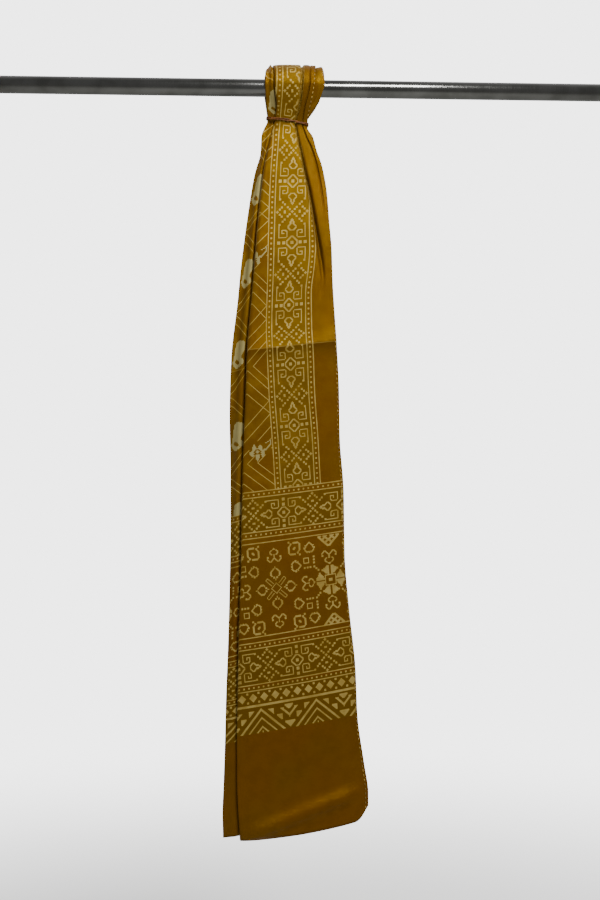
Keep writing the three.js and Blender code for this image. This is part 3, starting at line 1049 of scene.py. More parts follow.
def whole(eighth):
    """A full motif from one eighth of it, by its three mirror lines."""
    reach = len(eighth) - 1
    rows = []
    for y in range(-reach, reach + 1):
        row = ""
        for x in range(-reach, reach + 1):
            high, low = max(abs(x), abs(y)), min(abs(x), abs(y))
            row += eighth[high][low] if low < len(eighth[high]) else "."
        rows.append(row)
    return rows


def turned(chart):
    return ["".join(row[k] for row in chart) for k in range(len(chart[0]))]


def mirrored(chart):
    return [row[::-1] for row in chart]


PANEL_PLACES = [
    (whole(CROSS_EIGHTH), 0, 0),
    (whole(ROSETTE_EIGHTH), 56, 0),
    (SQUARE, 21, 36),
    (LEAF, 22, 19),
    (mirrored(turned(LEAF)), 37, 35),
    (BOX, 33, 23),
    (TREFOIL[::-1], 0, 33),
    (mirrored(turned(TREFOIL)), 34, 0),
    (BRANCH, 38, 19),
    (TREFOIL, 56, 23),
    (TRIANGLE[::-1], 56, 39),
]


def stamped_panel():
    grid = [["."] * HALF_WIDE for _ in range(HALF_HIGH)]
    for chart, x, y in PANEL_PLACES:
        left, low = x - len(chart[0]) // 2, y - len(chart) // 2
        for j, line in enumerate(chart):
            for i, stitch in enumerate(line):
                if stitch == "#" and 0 <= left + i < HALF_WIDE and 0 <= low + j < HALF_HIGH:
                    grid[low + j][left + i] = "#"
    return ["".join(line) for line in grid]


panel_chart = stamped_panel()
print("stitches on a quarter of the end panel:", stitches_in(panel_chart))

# %% [markdown]
# The field between the borders is a lattice of nested diamonds. An animal walks in some of them,
# and beside the border a flower grows in from it on a stem.

# %% Charts of the field
ANIMAL = [
    "........#####.......",
    "......###########...",
    ".....##############.",
    ".....###############",
    ".....###############",
    ".....###############",
    "....################",
    "....################",
    "....################",
    "....################",
    "....################",
    "....###############.",
    "....##############..",
    "....#############...",
    "...#############....",
    "...############.....",
    "...############.....",
    "...############.....",
    "...###..#########...",
    "..###.....########..",
    "..###......########.",
    "..####......#######.",
    "...#####....#######.",
    "...##########.####..",
    "....###########.....",
    ".....########.......",
    "......####..........",
]
FLOWER = [
    "....................##",
    "..................##.#",
    "................##...#",
    "....##...............#",
    "....##....##........##",
    "...####..####......##.",
    "...####..####.....##..",
    "...##########....##...",
    "...###....###.####....",
    "..###..##..######.....",
    "####..####..###.......",
    "#####..##..####.......",
    "####........###.......",
    ".####.####.####.......",
    "..##..####..###.......",
    "......####..##........",
    "......####............",
    "......###.............",
    ".......##.............",
    ".......#..............",
]
print("stitches in the animal and the flower:", stitches_in(ANIMAL), stitches_in(FLOWER))

# %% [markdown]
# A shader can't read a list of text lines, so each line of a chart becomes one number whose
# binary digits are its stitches. A colour ramp with constant steps holds these numbers, one step
# for each line, and up to three numbers a line in its red, green and blue. The shader picks the
# line, and then divides the number until the wanted digit stands last.

# %% Helpers that write shader nodes
STITCHES_A_NUMBER = 19
LINES_A_RAMP = 24


def feed(tree, socket, value):
    if isinstance(value, bpy.types.NodeSocket):
        tree.links.new(value, socket)
    else:
        socket.default_value = value


def calc(tree, operation, *values):
    node = tree.nodes.new("ShaderNodeMath")
    node.operation = operation
    for socket, value in zip(node.inputs, values):
        feed(tree, socket, value)
    return node.outputs[0]


def either(tree, *masks):
    result = masks[0]
    for mask in masks[1:]:
        result = calc(tree, "MAXIMUM", result, mask)
    return result


def near(tree, value, place, half):
    return calc(tree, "COMPARE", value, place, half)


def between(tree, value, low, high):
    return near(tree, value, (low + high) / 2, (high - low) / 2)


def both(tree, *masks):
    result = masks[0]
    for mask in masks[1:]:
        result = calc(tree, "MULTIPLY", result, mask)
    return result


def line_numbers(line):
    numbers = []
    for start in range(0, 3 * STITCHES_A_NUMBER, STITCHES_A_NUMBER):
        part = line[start:start + STITCHES_A_NUMBER]
        total = sum(2 ** k for k, stitch in enumerate(part) if stitch == "#")
        numbers.append(total / 2 ** STITCHES_A_NUMBER)
    return numbers


def chart_ramp(tree, lines, row):
    """The numbers of the chart's line at row, as a colour."""
    node = tree.nodes.new("ShaderNodeValToRGB")
    ramp = node.color_ramp
    ramp.interpolation = "CONSTANT"
    while len(ramp.elements) < len(lines):
        ramp.elements.new(1.0)
    for number, line in enumerate(lines):
        ramp.elements[number].position = number / len(lines)
        ramp.elements[number].color = (*line_numbers(line), 1)
    middle = calc(tree, "ADD", row, 0.5)
    tree.links.new(calc(tree, "DIVIDE", middle, len(lines)), node.inputs[0])
    return node.outputs["Color"]


def chart_stitch(tree, chart, column, row):
    """1 where the chart has a stitch at that column and row, both whole numbers, or else 0."""
    colour = chart_ramp(tree, chart[:LINES_A_RAMP], row)
    for start in range(LINES_A_RAMP, len(chart), LINES_A_RAMP):
        pick = tree.nodes.new("ShaderNodeMix")
        pick.data_type = "RGBA"
        later_row = calc(tree, "SUBTRACT", row, start)
        later = chart_ramp(tree, chart[start:start + LINES_A_RAMP], later_row)
        feed(tree, pick.inputs["Factor"], calc(tree, "GREATER_THAN", row, start - 0.5))
        feed(tree, pick.inputs["A"], colour)
        feed(tree, pick.inputs["B"], later)
        colour = pick.outputs["Result"]
    parts = tree.nodes.new("ShaderNodeSeparateColor")
    tree.links.new(colour, parts.inputs[0])
    block = calc(tree, "FLOOR", calc(tree, "DIVIDE", column, STITCHES_A_NUMBER))
    number = 0
    for k in range(math.ceil(len(chart[0]) / STITCHES_A_NUMBER)):
        number = calc(tree, "MULTIPLY_ADD", parts.outputs[k], near(tree, block, k, 0.5), number)
    digit = calc(tree, "MULTIPLY_ADD", block, -STITCHES_A_NUMBER, column)
    scaled = calc(tree, "MULTIPLY_ADD", number, 2 ** STITCHES_A_NUMBER, 0.5)
    shifted = calc(tree, "FLOOR", calc(tree, "DIVIDE", scaled, calc(tree, "POWER", 2, digit)))
    return calc(tree, "MODULO", shifted, 2)


def whole_cells(tree, distance):
    return calc(tree, "FLOOR", calc(tree, "MULTIPLY_ADD", distance, 1 / CELL, 0.5))


def new_group(name, inputs, outputs):
    group = bpy.data.node_groups.new(name, "ShaderNodeTree")
    for socket, kind in inputs:
        group.interface.new_socket(socket, in_out="INPUT", socket_type=kind)
    for socket, kind in outputs:
        group.interface.new_socket(socket, in_out="OUTPUT", socket_type=kind)
    start = group.nodes.new("NodeGroupInput")
    end = group.nodes.new("NodeGroupOutput")
    return group, start.outputs, end.inputs


def placed_group(tree, group, **values):
    node = tree.nodes.new("ShaderNodeGroup")
    node.node_tree = group
    for name, value in values.items():
        feed(tree, node.inputs[name.replace("_", " ")], value)
    return node.outputs


NUMBER = "NodeSocketFloat"
PLACE = "NodeSocketVector"
print("stitches that one ramp can hold:", 3 * STITCHES_A_NUMBER * LINES_A_RAMP)

# %% [markdown]
# The border motif is used three times: down both long edges, and turned sideways in two bands
# of the end panel. Its group takes the distance from the band's middle line and the distance
# along it, both in millimetres.

# %% Group of the border motif
REPEAT = 2 * (len(BORDER_CHART) - 1) * CELL
border_group, given, result = new_group(
    "border_motif", [("Across", NUMBER), ("Along", NUMBER)], [("Ink", NUMBER)]
)
column = whole_cells(border_group, calc(border_group, "ABSOLUTE", given["Across"]))
row = whole_cells(border_group, calc(border_group, "PINGPONG", given["Along"], REPEAT / 2))
border_group.links.new(chart_stitch(border_group, BORDER_CHART, column, row), result["Ink"])
print("nodes in the border motif:", len(border_group.nodes))

# %% [markdown]
# A dotted line is two thin lines with a row of square dots between them. It frames every band.

# %% Group of a dotted line
DOTS_A_REPEAT = 12
DOT_PITCH = REPEAT / DOTS_A_REPEAT
DOT_HALF = 1.3
LINE_HALF = 0.8
LINE_ASIDE = 4.25
dotted_group, given, result = new_group(
    "dotted_line", [("Across", NUMBER), ("Along", NUMBER)], [("Ink", NUMBER)]
)
aside = calc(dotted_group, "ABSOLUTE", given["Across"])
lines = near(dotted_group, aside, LINE_ASIDE, LINE_HALF)
spacing = calc(dotted_group, "PINGPONG", given["Along"], DOT_PITCH / 2)
dots = both(
    dotted_group,
    calc(dotted_group, "LESS_THAN", spacing, DOT_HALF),
    calc(dotted_group, "LESS_THAN", aside, DOT_HALF),
)
dotted_group.links.new(either(dotted_group, lines, dots), result["Ink"])
print("nodes in the dotted line:", len(dotted_group.nodes))

# %% [markdown]
# The field's lattice is a formula. The two distances from the middle of a diamond, as shares of
# the lattice's pitch, have the same sum along its outline. So a few values of that sum draw the
# nested diamonds. Beside the border there is also a long line that slants on through the whole
# repeat where a diamond would turn back, so half of it is a value of the sum and half of it one
# of the difference. By the middle fold the repeat is shorter, and animals walk in it.

# %% Group of the lattice field
FIELD_WIDE = 152
FIELD_LINE_HALF = 0.0055
BY_BORDER = {"first": 102, "last": 188, "u": 76, "v": 680.7, "high": 139}
BY_BORDER_LINES = (0.319, 0.418, 0.537, 0.664)
LONG_LINE = 0.8
BY_FOLD = {"first": 188, "last": 420, "u": 246, "v": 672, "high": 114.5}
BY_FOLD_LINES = (0.26, 0.356)
FLOWER_PLACE = (120.3, 559.4)
FLOWER_PITCH = 278
FLOWER_CLEAR = 5.5
ANIMAL_PLACE = (223.5, 613)


def lattice_shares(tree, u, v, field):
    """How far a place is from the nearest column and row of diamonds, 0 to 0.5 of the pitch."""
    across = calc(tree, "MULTIPLY_ADD", u, 1 / FIELD_WIDE, -field["u"] / FIELD_WIDE)
    along = calc(tree, "MULTIPLY_ADD", v, 1 / field["high"], -field["v"] / field["high"])
    return calc(tree, "PINGPONG", across, 0.5), calc(tree, "PINGPONG", along, 0.5)


def stamped_motif(tree, chart, u, v, place, pitch, clear_from=-0.5):
    """A whole chart, stamped once in each pitch along the cloth, and the rows it clears."""
    along = calc(tree, "ADD", v, pitch / 2 - place[1])
    along = calc(tree, "FLOORED_MODULO", along, pitch)
    row = whole_cells(tree, calc(tree, "SUBTRACT", along, pitch / 2))
    row = calc(tree, "ADD", row, len(chart) // 2)
    column = whole_cells(tree, calc(tree, "SUBTRACT", u, place[0]))
    column = calc(tree, "ADD", column, len(chart[0]) // 2)
    inside = both(
        tree,
        between(tree, row, -0.5, len(chart) - 0.5),
        between(tree, column, -0.5, len(chart[0]) - 0.5),
    )
    stitches = both(tree, chart_stitch(tree, chart, column, row), inside)
    return stitches, both(tree, inside, calc(tree, "GREATER_THAN", row, clear_from))


field_group, given, result = new_group(
    "lattice_field",
    [("U", NUMBER), ("V", NUMBER)],
    [("Ink", NUMBER), ("Glow", NUMBER), ("Pale", NUMBER)],
)
tree = field_group
ink = []
glow = []
for field, levels in ((BY_BORDER, BY_BORDER_LINES), (BY_FOLD, BY_FOLD_LINES)):
    here = between(tree, given["U"], field["first"], field["last"])
    across, along = lattice_shares(tree, given["U"], given["V"], field)
    total = calc(tree, "ADD", across, along)
    drawn = [near(tree, total, level, FIELD_LINE_HALF) for level in levels]
    if field is BY_BORDER:
        in_repeat = calc(tree, "SUBTRACT", given["V"], field["v"])
        in_repeat = calc(tree, "FLOORED_MODULO", in_repeat, field["high"])
        rising = calc(tree, "LESS_THAN", in_repeat, field["high"] / 2)
        difference = calc(tree, "SUBTRACT", along, across)
        drawn.append(both(tree, rising, near(tree, total, LONG_LINE, FIELD_LINE_HALF)))
        falling = calc(tree, "SUBTRACT", 1, rising)
        drawn.append(both(tree, falling, near(tree, difference, 1 - LONG_LINE, FIELD_LINE_HALF)))
    ink.append(both(tree, here, either(tree, *drawn)))
    glow.append(both(tree, here, calc(tree, "LESS_THAN", total, levels[0])))
flower, flower_here = stamped_motif(
    tree, mirrored(FLOWER[::-1]), given["U"], given["V"], FLOWER_PLACE, FLOWER_PITCH, FLOWER_CLEAR
)
animal, _ = stamped_motif(
    tree, ANIMAL[::-1], given["U"], given["V"], ANIMAL_PLACE, BY_FOLD["high"]
)
lattice = both(tree, either(tree, *ink), calc(tree, "SUBTRACT", 1, flower_here))
tree.links.new(either(tree, lattice, flower, animal), result["Ink"])
tree.links.new(either(tree, *glow), result["Glow"])
tree.links.new(either(tree, flower, animal), result["Pale"])
print("nodes in the lattice field:", len(tree.nodes))

# %% [markdown]
# The end panel is read from the hem upwards: plain cloth, the chevron row, a bold line, a row of
# filled diamonds, a motif band between dotted lines, the wide floral panel, and a second motif
# band. Above it the borders and the field begin. The print group puts all of it together, and
# starts with the lines and the motif bands. It measures from the nearer end and the nearer edge,
# because both ends and both edges are alike.

# %% Group of the whole print, its lines and bands
BOLD_LINE = (195.8, 1.7)
BAND_LINES = (221.8, 281, 437.8, 495.9)
MOTIF_BANDS = ((251.2, 226.2, 277, -2.3), (465.6, 442, 491.5, 2.0))
THIN_LINES = (293, 426)
FIELD_FROM = 500.3
BORDER_MIDDLE = 67
BORDER_EDGES = (42.5, 91.5)
BORDER_LINES = (37.2, 97)
BORDER_PHASE = 590


def from_near_end(tree, value, whole_length):
    """How far a place lies from the nearer end of a length."""
    middle = whole_length / 2
    from_middle = calc(tree, "ABSOLUTE", calc(tree, "SUBTRACT", value, middle))
    return calc(tree, "SUBTRACT", middle, from_middle)


print_masks = ("Ink", "Panel", "Glow", "Pale", "Press", "Printed")
print_group, given, result = new_group(
    "dupatta_print", [("UV", PLACE)], [(mask, NUMBER) for mask in print_masks]
)
tree = print_group
flat = tree.nodes.new("ShaderNodeSeparateXYZ")
tree.links.new(given["UV"], flat.inputs[0])
u = from_near_end(tree, calc(tree, "MULTIPLY", flat.outputs["X"], 1 / MM), CLOTH_WIDE)
v_from_front_hem = calc(tree, "MULTIPLY", flat.outputs["Y"], 1 / MM)
v = from_near_end(tree, v_from_front_hem, cloth_long)

ink = [near(tree, v, *BOLD_LINE)]
ink += [near(tree, v, place, LINE_HALF) for place in THIN_LINES]
for place in BAND_LINES:
    across = calc(tree, "SUBTRACT", v, place)
    ink.append(placed_group(tree, dotted_group, Across=across, Along=u)["Ink"])

in_field = calc(tree, "GREATER_THAN", v, FIELD_FROM)
border_along = calc(tree, "SUBTRACT", v, BORDER_PHASE)
for place in BORDER_LINES:
    across = calc(tree, "SUBTRACT", u, place)
    dotted = placed_group(tree, dotted_group, Across=across, Along=border_along)["Ink"]
    ink.append(both(tree, in_field, dotted))
border_here = both(tree, in_field, between(tree, u, *BORDER_EDGES))
motif = placed_group(
    tree, border_group, Across=calc(tree, "SUBTRACT", u, BORDER_MIDDLE), Along=border_along
)["Ink"]
ink.append(both(tree, border_here, motif))
border_wide = between(tree, u, BORDER_EDGES[0] - LINE_ASIDE, BORDER_EDGES[1] + LINE_ASIDE)
panel = [both(tree, border_wide, in_field)]
for middle, low, high, shift in MOTIF_BANDS:
    across = calc(tree, "SUBTRACT", v, middle)
    along = calc(tree, "SUBTRACT", u, shift)
    motif = placed_group(tree, border_group, Across=across, Along=along)["Ink"]
    here = between(tree, v, low, high)
    ink.append(both(tree, here, motif))
    panel.append(here)
print("nodes in the lines and bands:", len(tree.nodes))

# %% [markdown]
# Below the first band stand the chevrons, from their own chart, and a row of filled diamonds.
# A diamond is a formula: its two distances from the middle, as shares of its half sizes, sum to
# less than one. A dot fills the corner between each two diamonds, above and below.

# %% Chevrons and diamonds
CHEVRON_CELL = 1.404
CHEVRON_TOP = 192.9
CHEVRON_AXIS = 62.6
DIAMOND_ROW = 207.5
DIAMOND_AXIS = 56.1
DIAMOND_PITCH = 16.84
DIAMOND_WIDE = 6.2
DIAMOND_HIGH = 6.4
DIAMOND_DOT_HALF = 1.6

chevron_row = calc(tree, "MULTIPLY_ADD", v, -1 / CHEVRON_CELL, CHEVRON_TOP / CHEVRON_CELL)
chevron_row = calc(tree, "FLOOR", chevron_row)
chevron_half = (len(CHEVRON_CHART[0]) - 1) * CHEVRON_CELL
chevron_u = calc(tree, "PINGPONG", calc(tree, "SUBTRACT", u, CHEVRON_AXIS), chevron_half)
chevron_column = whole_cells(tree, calc(tree, "MULTIPLY", chevron_u, CELL / CHEVRON_CELL))
chevron = chart_stitch(tree, CHEVRON_CHART, chevron_column, chevron_row)
chevron_here = between(tree, chevron_row, -0.5, len(CHEVRON_CHART) - 0.5)
ink.append(both(tree, chevron, chevron_here))
panel.append(between(tree, v, CHEVRON_TOP - len(CHEVRON_CHART) * CHEVRON_CELL, BAND_LINES[0]))

diamond_u = calc(tree, "SUBTRACT", u, DIAMOND_AXIS)
diamond_u = calc(tree, "PINGPONG", diamond_u, DIAMOND_PITCH / 2)
diamond_v = calc(tree, "ABSOLUTE", calc(tree, "SUBTRACT", v, DIAMOND_ROW))
high_share = calc(tree, "DIVIDE", diamond_v, DIAMOND_HIGH)
slant = calc(tree, "MULTIPLY_ADD", diamond_u, 1 / DIAMOND_WIDE, high_share)
ink.append(calc(tree, "LESS_THAN", slant, 1))
dot_from = DIAMOND_PITCH / 2 - DIAMOND_DOT_HALF
dot_across = calc(tree, "GREATER_THAN", diamond_u, dot_from)
dot_along = near(tree, diamond_v, DIAMOND_HIGH, DIAMOND_DOT_HALF)
ink.append(both(tree, dot_across, dot_along))
print("nodes with the chevrons and diamonds:", len(tree.nodes))

# %% [markdown]
# The wide panel and the field go in last. Then the group puts out its masks. Besides the print
# it says how far a place lies from the press line across the front, and how strongly the gold of
# the printed part shows: not on the plain end, and less on the plain edge by the selvedge.

# %% The wide panel, the field and the masks
PANEL_MIDDLE = 358.3
PANEL_AXIS = 108
PRESS_LINE = 705
PRINTED_FROM = (330, 560)
PLAIN_EDGE_LOSS = 0.65

panel_half = (HALF_WIDE - 0.5) * CELL
panel_column = calc(tree, "PINGPONG", calc(tree, "SUBTRACT", u, PANEL_AXIS), panel_half)
panel_row = whole_cells(tree, calc(tree, "ABSOLUTE", calc(tree, "SUBTRACT", v, PANEL_MIDDLE)))
flowers = chart_stitch(tree, panel_chart, whole_cells(tree, panel_column), panel_row)
ink.append(both(tree, flowers, calc(tree, "LESS_THAN", panel_row, HALF_HIGH - 0.5)))

field = placed_group(tree, field_group, U=u, V=v)
ink.append(both(tree, in_field, field["Ink"]))
tree.links.new(either(tree, *ink), result["Ink"])
tree.links.new(either(tree, *panel), result["Panel"])
tree.links.new(both(tree, in_field, field["Glow"]), result["Glow"])
tree.links.new(both(tree, in_field, field["Pale"]), result["Pale"])
tree.links.new(calc(tree, "SUBTRACT", v_from_front_hem, PRESS_LINE), result["Press"])
printed = tree.nodes.new("ShaderNodeMapRange")
printed.inputs["From Min"].default_value, printed.inputs["From Max"].default_value = PRINTED_FROM
tree.links.new(v, printed.inputs["Value"])
on_plain = calc(tree, "LESS_THAN", u, BORDER_LINES[0])
plain_share = calc(tree, "MULTIPLY_ADD", on_plain, -PLAIN_EDGE_LOSS, 1)
tree.links.new(both(tree, printed.outputs["Result"], plain_share), result["Printed"])
print("nodes in the print:", len(tree.nodes))

# %% [markdown]
# A plain weave has threads both ways, each going over and under the other. Two sine waves make
# that, one along each side of the cloth. Some threads are thicker, so a noise that is stretched
# along the cloth's width says where the dye took less. Both are far finer than the mesh.

# %% Group of the weave
SLUB_STRETCH = (160, 2400, 1)
weave_group, given, result = new_group(
    "plain_weave",
    [("UV", PLACE), ("Thread", NUMBER)],
    [("Height", NUMBER), ("Slub", NUMBER)],
)
tree = weave_group
flat = tree.nodes.new("ShaderNodeSeparateXYZ")
tree.links.new(given["UV"], flat.inputs[0])
waves = []
for axis in ("X", "Y"):
    angle = calc(tree, "MULTIPLY", flat.outputs[axis], 2 * math.pi)
    waves.append(calc(tree, "SINE", calc(tree, "DIVIDE", angle, given["Thread"])))
tree.links.new(calc(tree, "MULTIPLY", *waves), result["Height"])
stretch = tree.nodes.new("ShaderNodeMapping")
stretch.inputs["Scale"].default_value = SLUB_STRETCH
tree.links.new(given["UV"], stretch.inputs["Vector"])
slub = tree.nodes.new("ShaderNodeTexNoise")
slub.inputs["Detail"].default_value = 2
slub.inputs["Scale"].default_value = 1
tree.links.new(stretch.outputs["Vector"], slub.inputs["Vector"])
tree.links.new(slub.outputs["Fac"], result["Slub"])
print("nodes in the weave:", len(tree.nodes))

# %% [markdown]
# The finishes share a few helpers: one blends two colours, one gives soft noise, one spreads a
# range of values over another, and one turns a height into bump.

# %% Helpers for colours and bump
def blend_colours(tree, factor, a, b):
    node = tree.nodes.new("ShaderNodeMix")
    node.data_type = "RGBA"
    feed(tree, node.inputs["Factor"], factor)
    feed(tree, node.inputs["A"], a)
    feed(tree, node.inputs["B"], b)
    return node.outputs["Result"]


def noise_value(tree, vector, scale, detail=2.0):
    node = tree.nodes.new("ShaderNodeTexNoise")
    node.inputs["Scale"].default_value = scale
    node.inputs["Detail"].default_value = detail
    tree.links.new(vector, node.inputs["Vector"])
    return node.outputs["Fac"]


def ranged(tree, value, low, high, to_low=0.0, to_high=1.0):
    node = tree.nodes.new("ShaderNodeMapRange")
    node.interpolation_type = "SMOOTHSTEP"
    for socket, number in zip(node.inputs, (value, low, high, to_low, to_high)):
        feed(tree, socket, number)
    return node.outputs["Result"]


def add_bump(tree, shader, height, strength, distance, inward=False):
    bump = tree.nodes.new("ShaderNodeBump")
    bump.inputs["Strength"].default_value = strength
    bump.inputs["Distance"].default_value = distance
    bump.invert = inward
    tree.links.new(height, bump.inputs["Height"])
    tree.links.new(bump.outputs["Normal"], shader.inputs["Normal"])


# %% [markdown]
# The silk itself is mustard, and no two hand spans of it are quite alike: it is more orange in
# places and more olive in others, with a touch of gold where it is printed. The print is cream.
# A press line runs across the front, with a painted highlight, a thin pale line, along its crest
# and painted shade just below it. A faint crumple breaks up the shine, as bump.

# %% Silk
GROUND_ORANGE = (0.064, 0.0235, 0.0002, 1)
GROUND_OLIVE = (0.053, 0.0275, 0.0004, 1)
GROUND_DEEP = (0.035, 0.0108, 0.0002, 1)
GROUND_GOLD = (0.1, 0.052, 0.0004, 1)
PRINT_CREAM = (0.205, 0.15, 0.043, 1)
PRINT_DULL = (0.155, 0.105, 0.024, 1)
PRINT_PALE = (0.17, 0.15, 0.062, 1)
SILK_ROUGH = (0.34, 0.44)
OLIVE_SHARE = 0.4
DEEP_SHARE = 0.25
PANEL_OLIVE = 0.7
GLOW_ORANGE = 0.5
PALE_SHARE = 0.8
SLUB_SPAN = (0.2, 0.5)
INK_SPAN = (0.8, 0.96)
# The press line: a painted highlight along its crest and painted shade just below it.
PRESS_HALF = 1.1
PRESS_CREST = 0.3
PRESS_PAINTED_HIGHLIGHT = 0.4
PRESS_SHADE = 14
PRESS_DARK = 0.35
BLOTCH = {"scale": 9, "low": 0.38, "high": 0.64}
SMALL_BLOTCH = {"scale": 55, "low": 0.35, "high": 0.7}
GOLD_BLOTCH = {"scale": 34, "detail": 3, "low": 0.42, "high": 0.68, "to_low": 0.2, "to_high": 0.62}
CRUMPLE_SCALE = 70
THREAD_PITCH = 0.0007
THREAD_HIGH = 0.12


def blotches(tree, vector, scale, detail=2.0, **spans):
    return ranged(tree, noise_value(tree, vector, scale, detail), **spans)


def tinted(tree, mask, share, colour, tint):
    return blend_colours(tree, calc(tree, "MULTIPLY", mask, share), colour, tint)


silk, tree, shader = new_material("printed_silk")
shader.inputs["Metallic"].default_value = 0.15
shader.inputs["Specular IOR Level"].default_value = 0.2
shader.inputs["Specular Tint"].default_value = (1.0, 0.6, 0.03, 1)
shader.inputs["Sheen Weight"].default_value = 0.06
shader.inputs["Sheen Roughness"].default_value = 0.35
shader.inputs["Sheen Tint"].default_value = (1.0, 0.55, 0.12, 1)
uv_map = tree.nodes.new("ShaderNodeUVMap")
uv_map.uv_map = "UVMap"
flat_uv = uv_map.outputs["UV"]
pattern = placed_group(tree, print_group, UV=flat_uv)
threads = placed_group(tree, weave_group, UV=flat_uv, Thread=THREAD_PITCH)
blotch = blotches(tree, flat_uv, **BLOTCH)
small_blotch = blotches(tree, flat_uv, **SMALL_BLOTCH)
gold = calc(tree, "MULTIPLY", blotches(tree, flat_uv, **GOLD_BLOTCH), pattern["Printed"])
ground = tinted(tree, blotch, OLIVE_SHARE, GROUND_ORANGE, GROUND_OLIVE)
ground = tinted(tree, small_blotch, DEEP_SHARE, ground, GROUND_DEEP)
ground = tinted(tree, pattern["Panel"], PANEL_OLIVE, ground, GROUND_OLIVE)
ground = tinted(tree, pattern["Glow"], GLOW_ORANGE, ground, GROUND_ORANGE)
ground = blend_colours(tree, gold, ground, GROUND_GOLD)
cream = blend_colours(tree, small_blotch, PRINT_CREAM, PRINT_DULL)
# Painted highlight: a thin pale line of the print's cream along the press crease's crest.
from_press = calc(tree, "ABSOLUTE", pattern["Press"])
wear_and_painted_highlight = ranged(tree, from_press, PRESS_CREST, PRESS_HALF, PRESS_PAINTED_HIGHLIGHT, 0)
ground = blend_colours(tree, wear_and_painted_highlight, ground, cream)
# Painted shade: the ground turns deeper for a short way just below the press line.
shaded = ranged(tree, pattern["Press"], -PRESS_SHADE, 0, 0, PRESS_DARK)
below_press = calc(tree, "LESS_THAN", pattern["Press"], 0)
ground = tinted(tree, shaded, below_press, ground, GROUND_DEEP)
cream = tinted(tree, pattern["Pale"], PALE_SHARE, cream, PRINT_PALE)
coverage = ranged(tree, threads["Slub"], *SLUB_SPAN, *INK_SPAN)
colour = tinted(tree, pattern["Ink"], coverage, ground, cream)
tree.links.new(colour, shader.inputs["Base Color"])
tree.links.new(ranged(tree, small_blotch, 0, 1, *SILK_ROUGH), shader.inputs["Roughness"])
weave_height = calc(tree, "MULTIPLY", threads["Height"], THREAD_HIGH)
crumple = noise_value(tree, flat_uv, CRUMPLE_SCALE, 3)
height = calc(tree, "ADD", weave_height, crumple)
add_bump(tree, shader, height, strength=0.35, distance=0.0012)
cloth.data.materials.append(silk)
print("nodes in the silk:", len(tree.nodes))

# %% [markdown]
# The rail is a polished stainless tube, an inch thick. A circle of many short sides is extruded
# along it and given a real wall, with small chamfers at its ends. Polishing leaves fine lines
# that run round the tube and stretch its highlights a little.

# %% Rail
RAIL_SIDES = 96
RAIL_WALL = 1.2
RAIL_CHAMFER = 0.8
RAIL_ENDS = (-500, 500)
STEEL_LIGHT = (0.1, 0.1, 0.095, 1)
STEEL_DARK = (0.07, 0.07, 0.065, 1)
POLISH_STRETCH = (900, 12, 12)
CLOUDS = {"scale": 26, "detail": 4, "low": 0.35, "high": 0.7}

steel, tree, shader = new_material("polished_steel")
shader.inputs["Metallic"].default_value = 1
place = tree.nodes.new("ShaderNodeTexCoord").outputs["Object"]
stretch = tree.nodes.new("ShaderNodeMapping")
stretch.inputs["Scale"].default_value = POLISH_STRETCH
tree.links.new(place, stretch.inputs["Vector"])
lines = noise_value(tree, stretch.outputs["Vector"], 1, 3)
tone = blend_colours(tree, blotches(tree, place, **CLOUDS), STEEL_LIGHT, STEEL_DARK)
tree.links.new(tone, shader.inputs["Base Color"])
tree.links.new(ranged(tree, lines, 0.3, 0.7, 0.15, 0.22), shader.inputs["Roughness"])
add_bump(tree, shader, lines, strength=0.008, distance=0.0003)

rail_shape = bmesh.new()
turn = Matrix.Rotation(math.radians(90), 4, "Y")
stations = [
    (RAIL_ENDS[0], RAIL_RADIUS - RAIL_CHAMFER),
    (RAIL_ENDS[0] + RAIL_CHAMFER, RAIL_RADIUS),
    (RAIL_ENDS[1] - RAIL_CHAMFER, RAIL_RADIUS),
    (RAIL_ENDS[1], RAIL_RADIUS - RAIL_CHAMFER),
    (RAIL_ENDS[1], RAIL_RADIUS - RAIL_WALL),
    (RAIL_ENDS[0], RAIL_RADIUS - RAIL_WALL),
]
rings = []
for x, radius in stations:
    ring = bmesh.ops.create_circle(
        rail_shape,
        segments=RAIL_SIDES,
        radius=radius * MM,
        matrix=Matrix.Translation((x * MM, 0, 0)) @ turn,
    )
    rings.append(list({edge for vert in ring["verts"] for edge in vert.link_edges}))
for first, second in zip(rings, rings[1:] + rings[:1]):
    bmesh.ops.bridge_loops(rail_shape, edges=first + second)
bmesh.ops.recalc_face_normals(rail_shape, faces=rail_shape.faces)
rail_tube = finished("rail_tube", rail_shape, steel)
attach(rail_tube, "root")
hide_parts("rail")

# %% [markdown]
# The cloth is gathered with a thin covered elastic. A taut elastic goes straight from crest to
# crest, so its line is the convex hull of the stack at the waist. The hull is read from the
# folded cloth itself, and pushed out by the elastic's own radius.

# %% Line of the elastic
ELASTIC_RADIUS = 0.9
TIE_STEPS = 96
TIE_SLOPE = -0.16
TIE_MIDDLE = -11.6
TIE_REACH = 3.2
HULL_REACH = 90


def tie_plane(x):
    return -TIE_FALL + TIE_SLOPE * (x - TIE_MIDDLE)


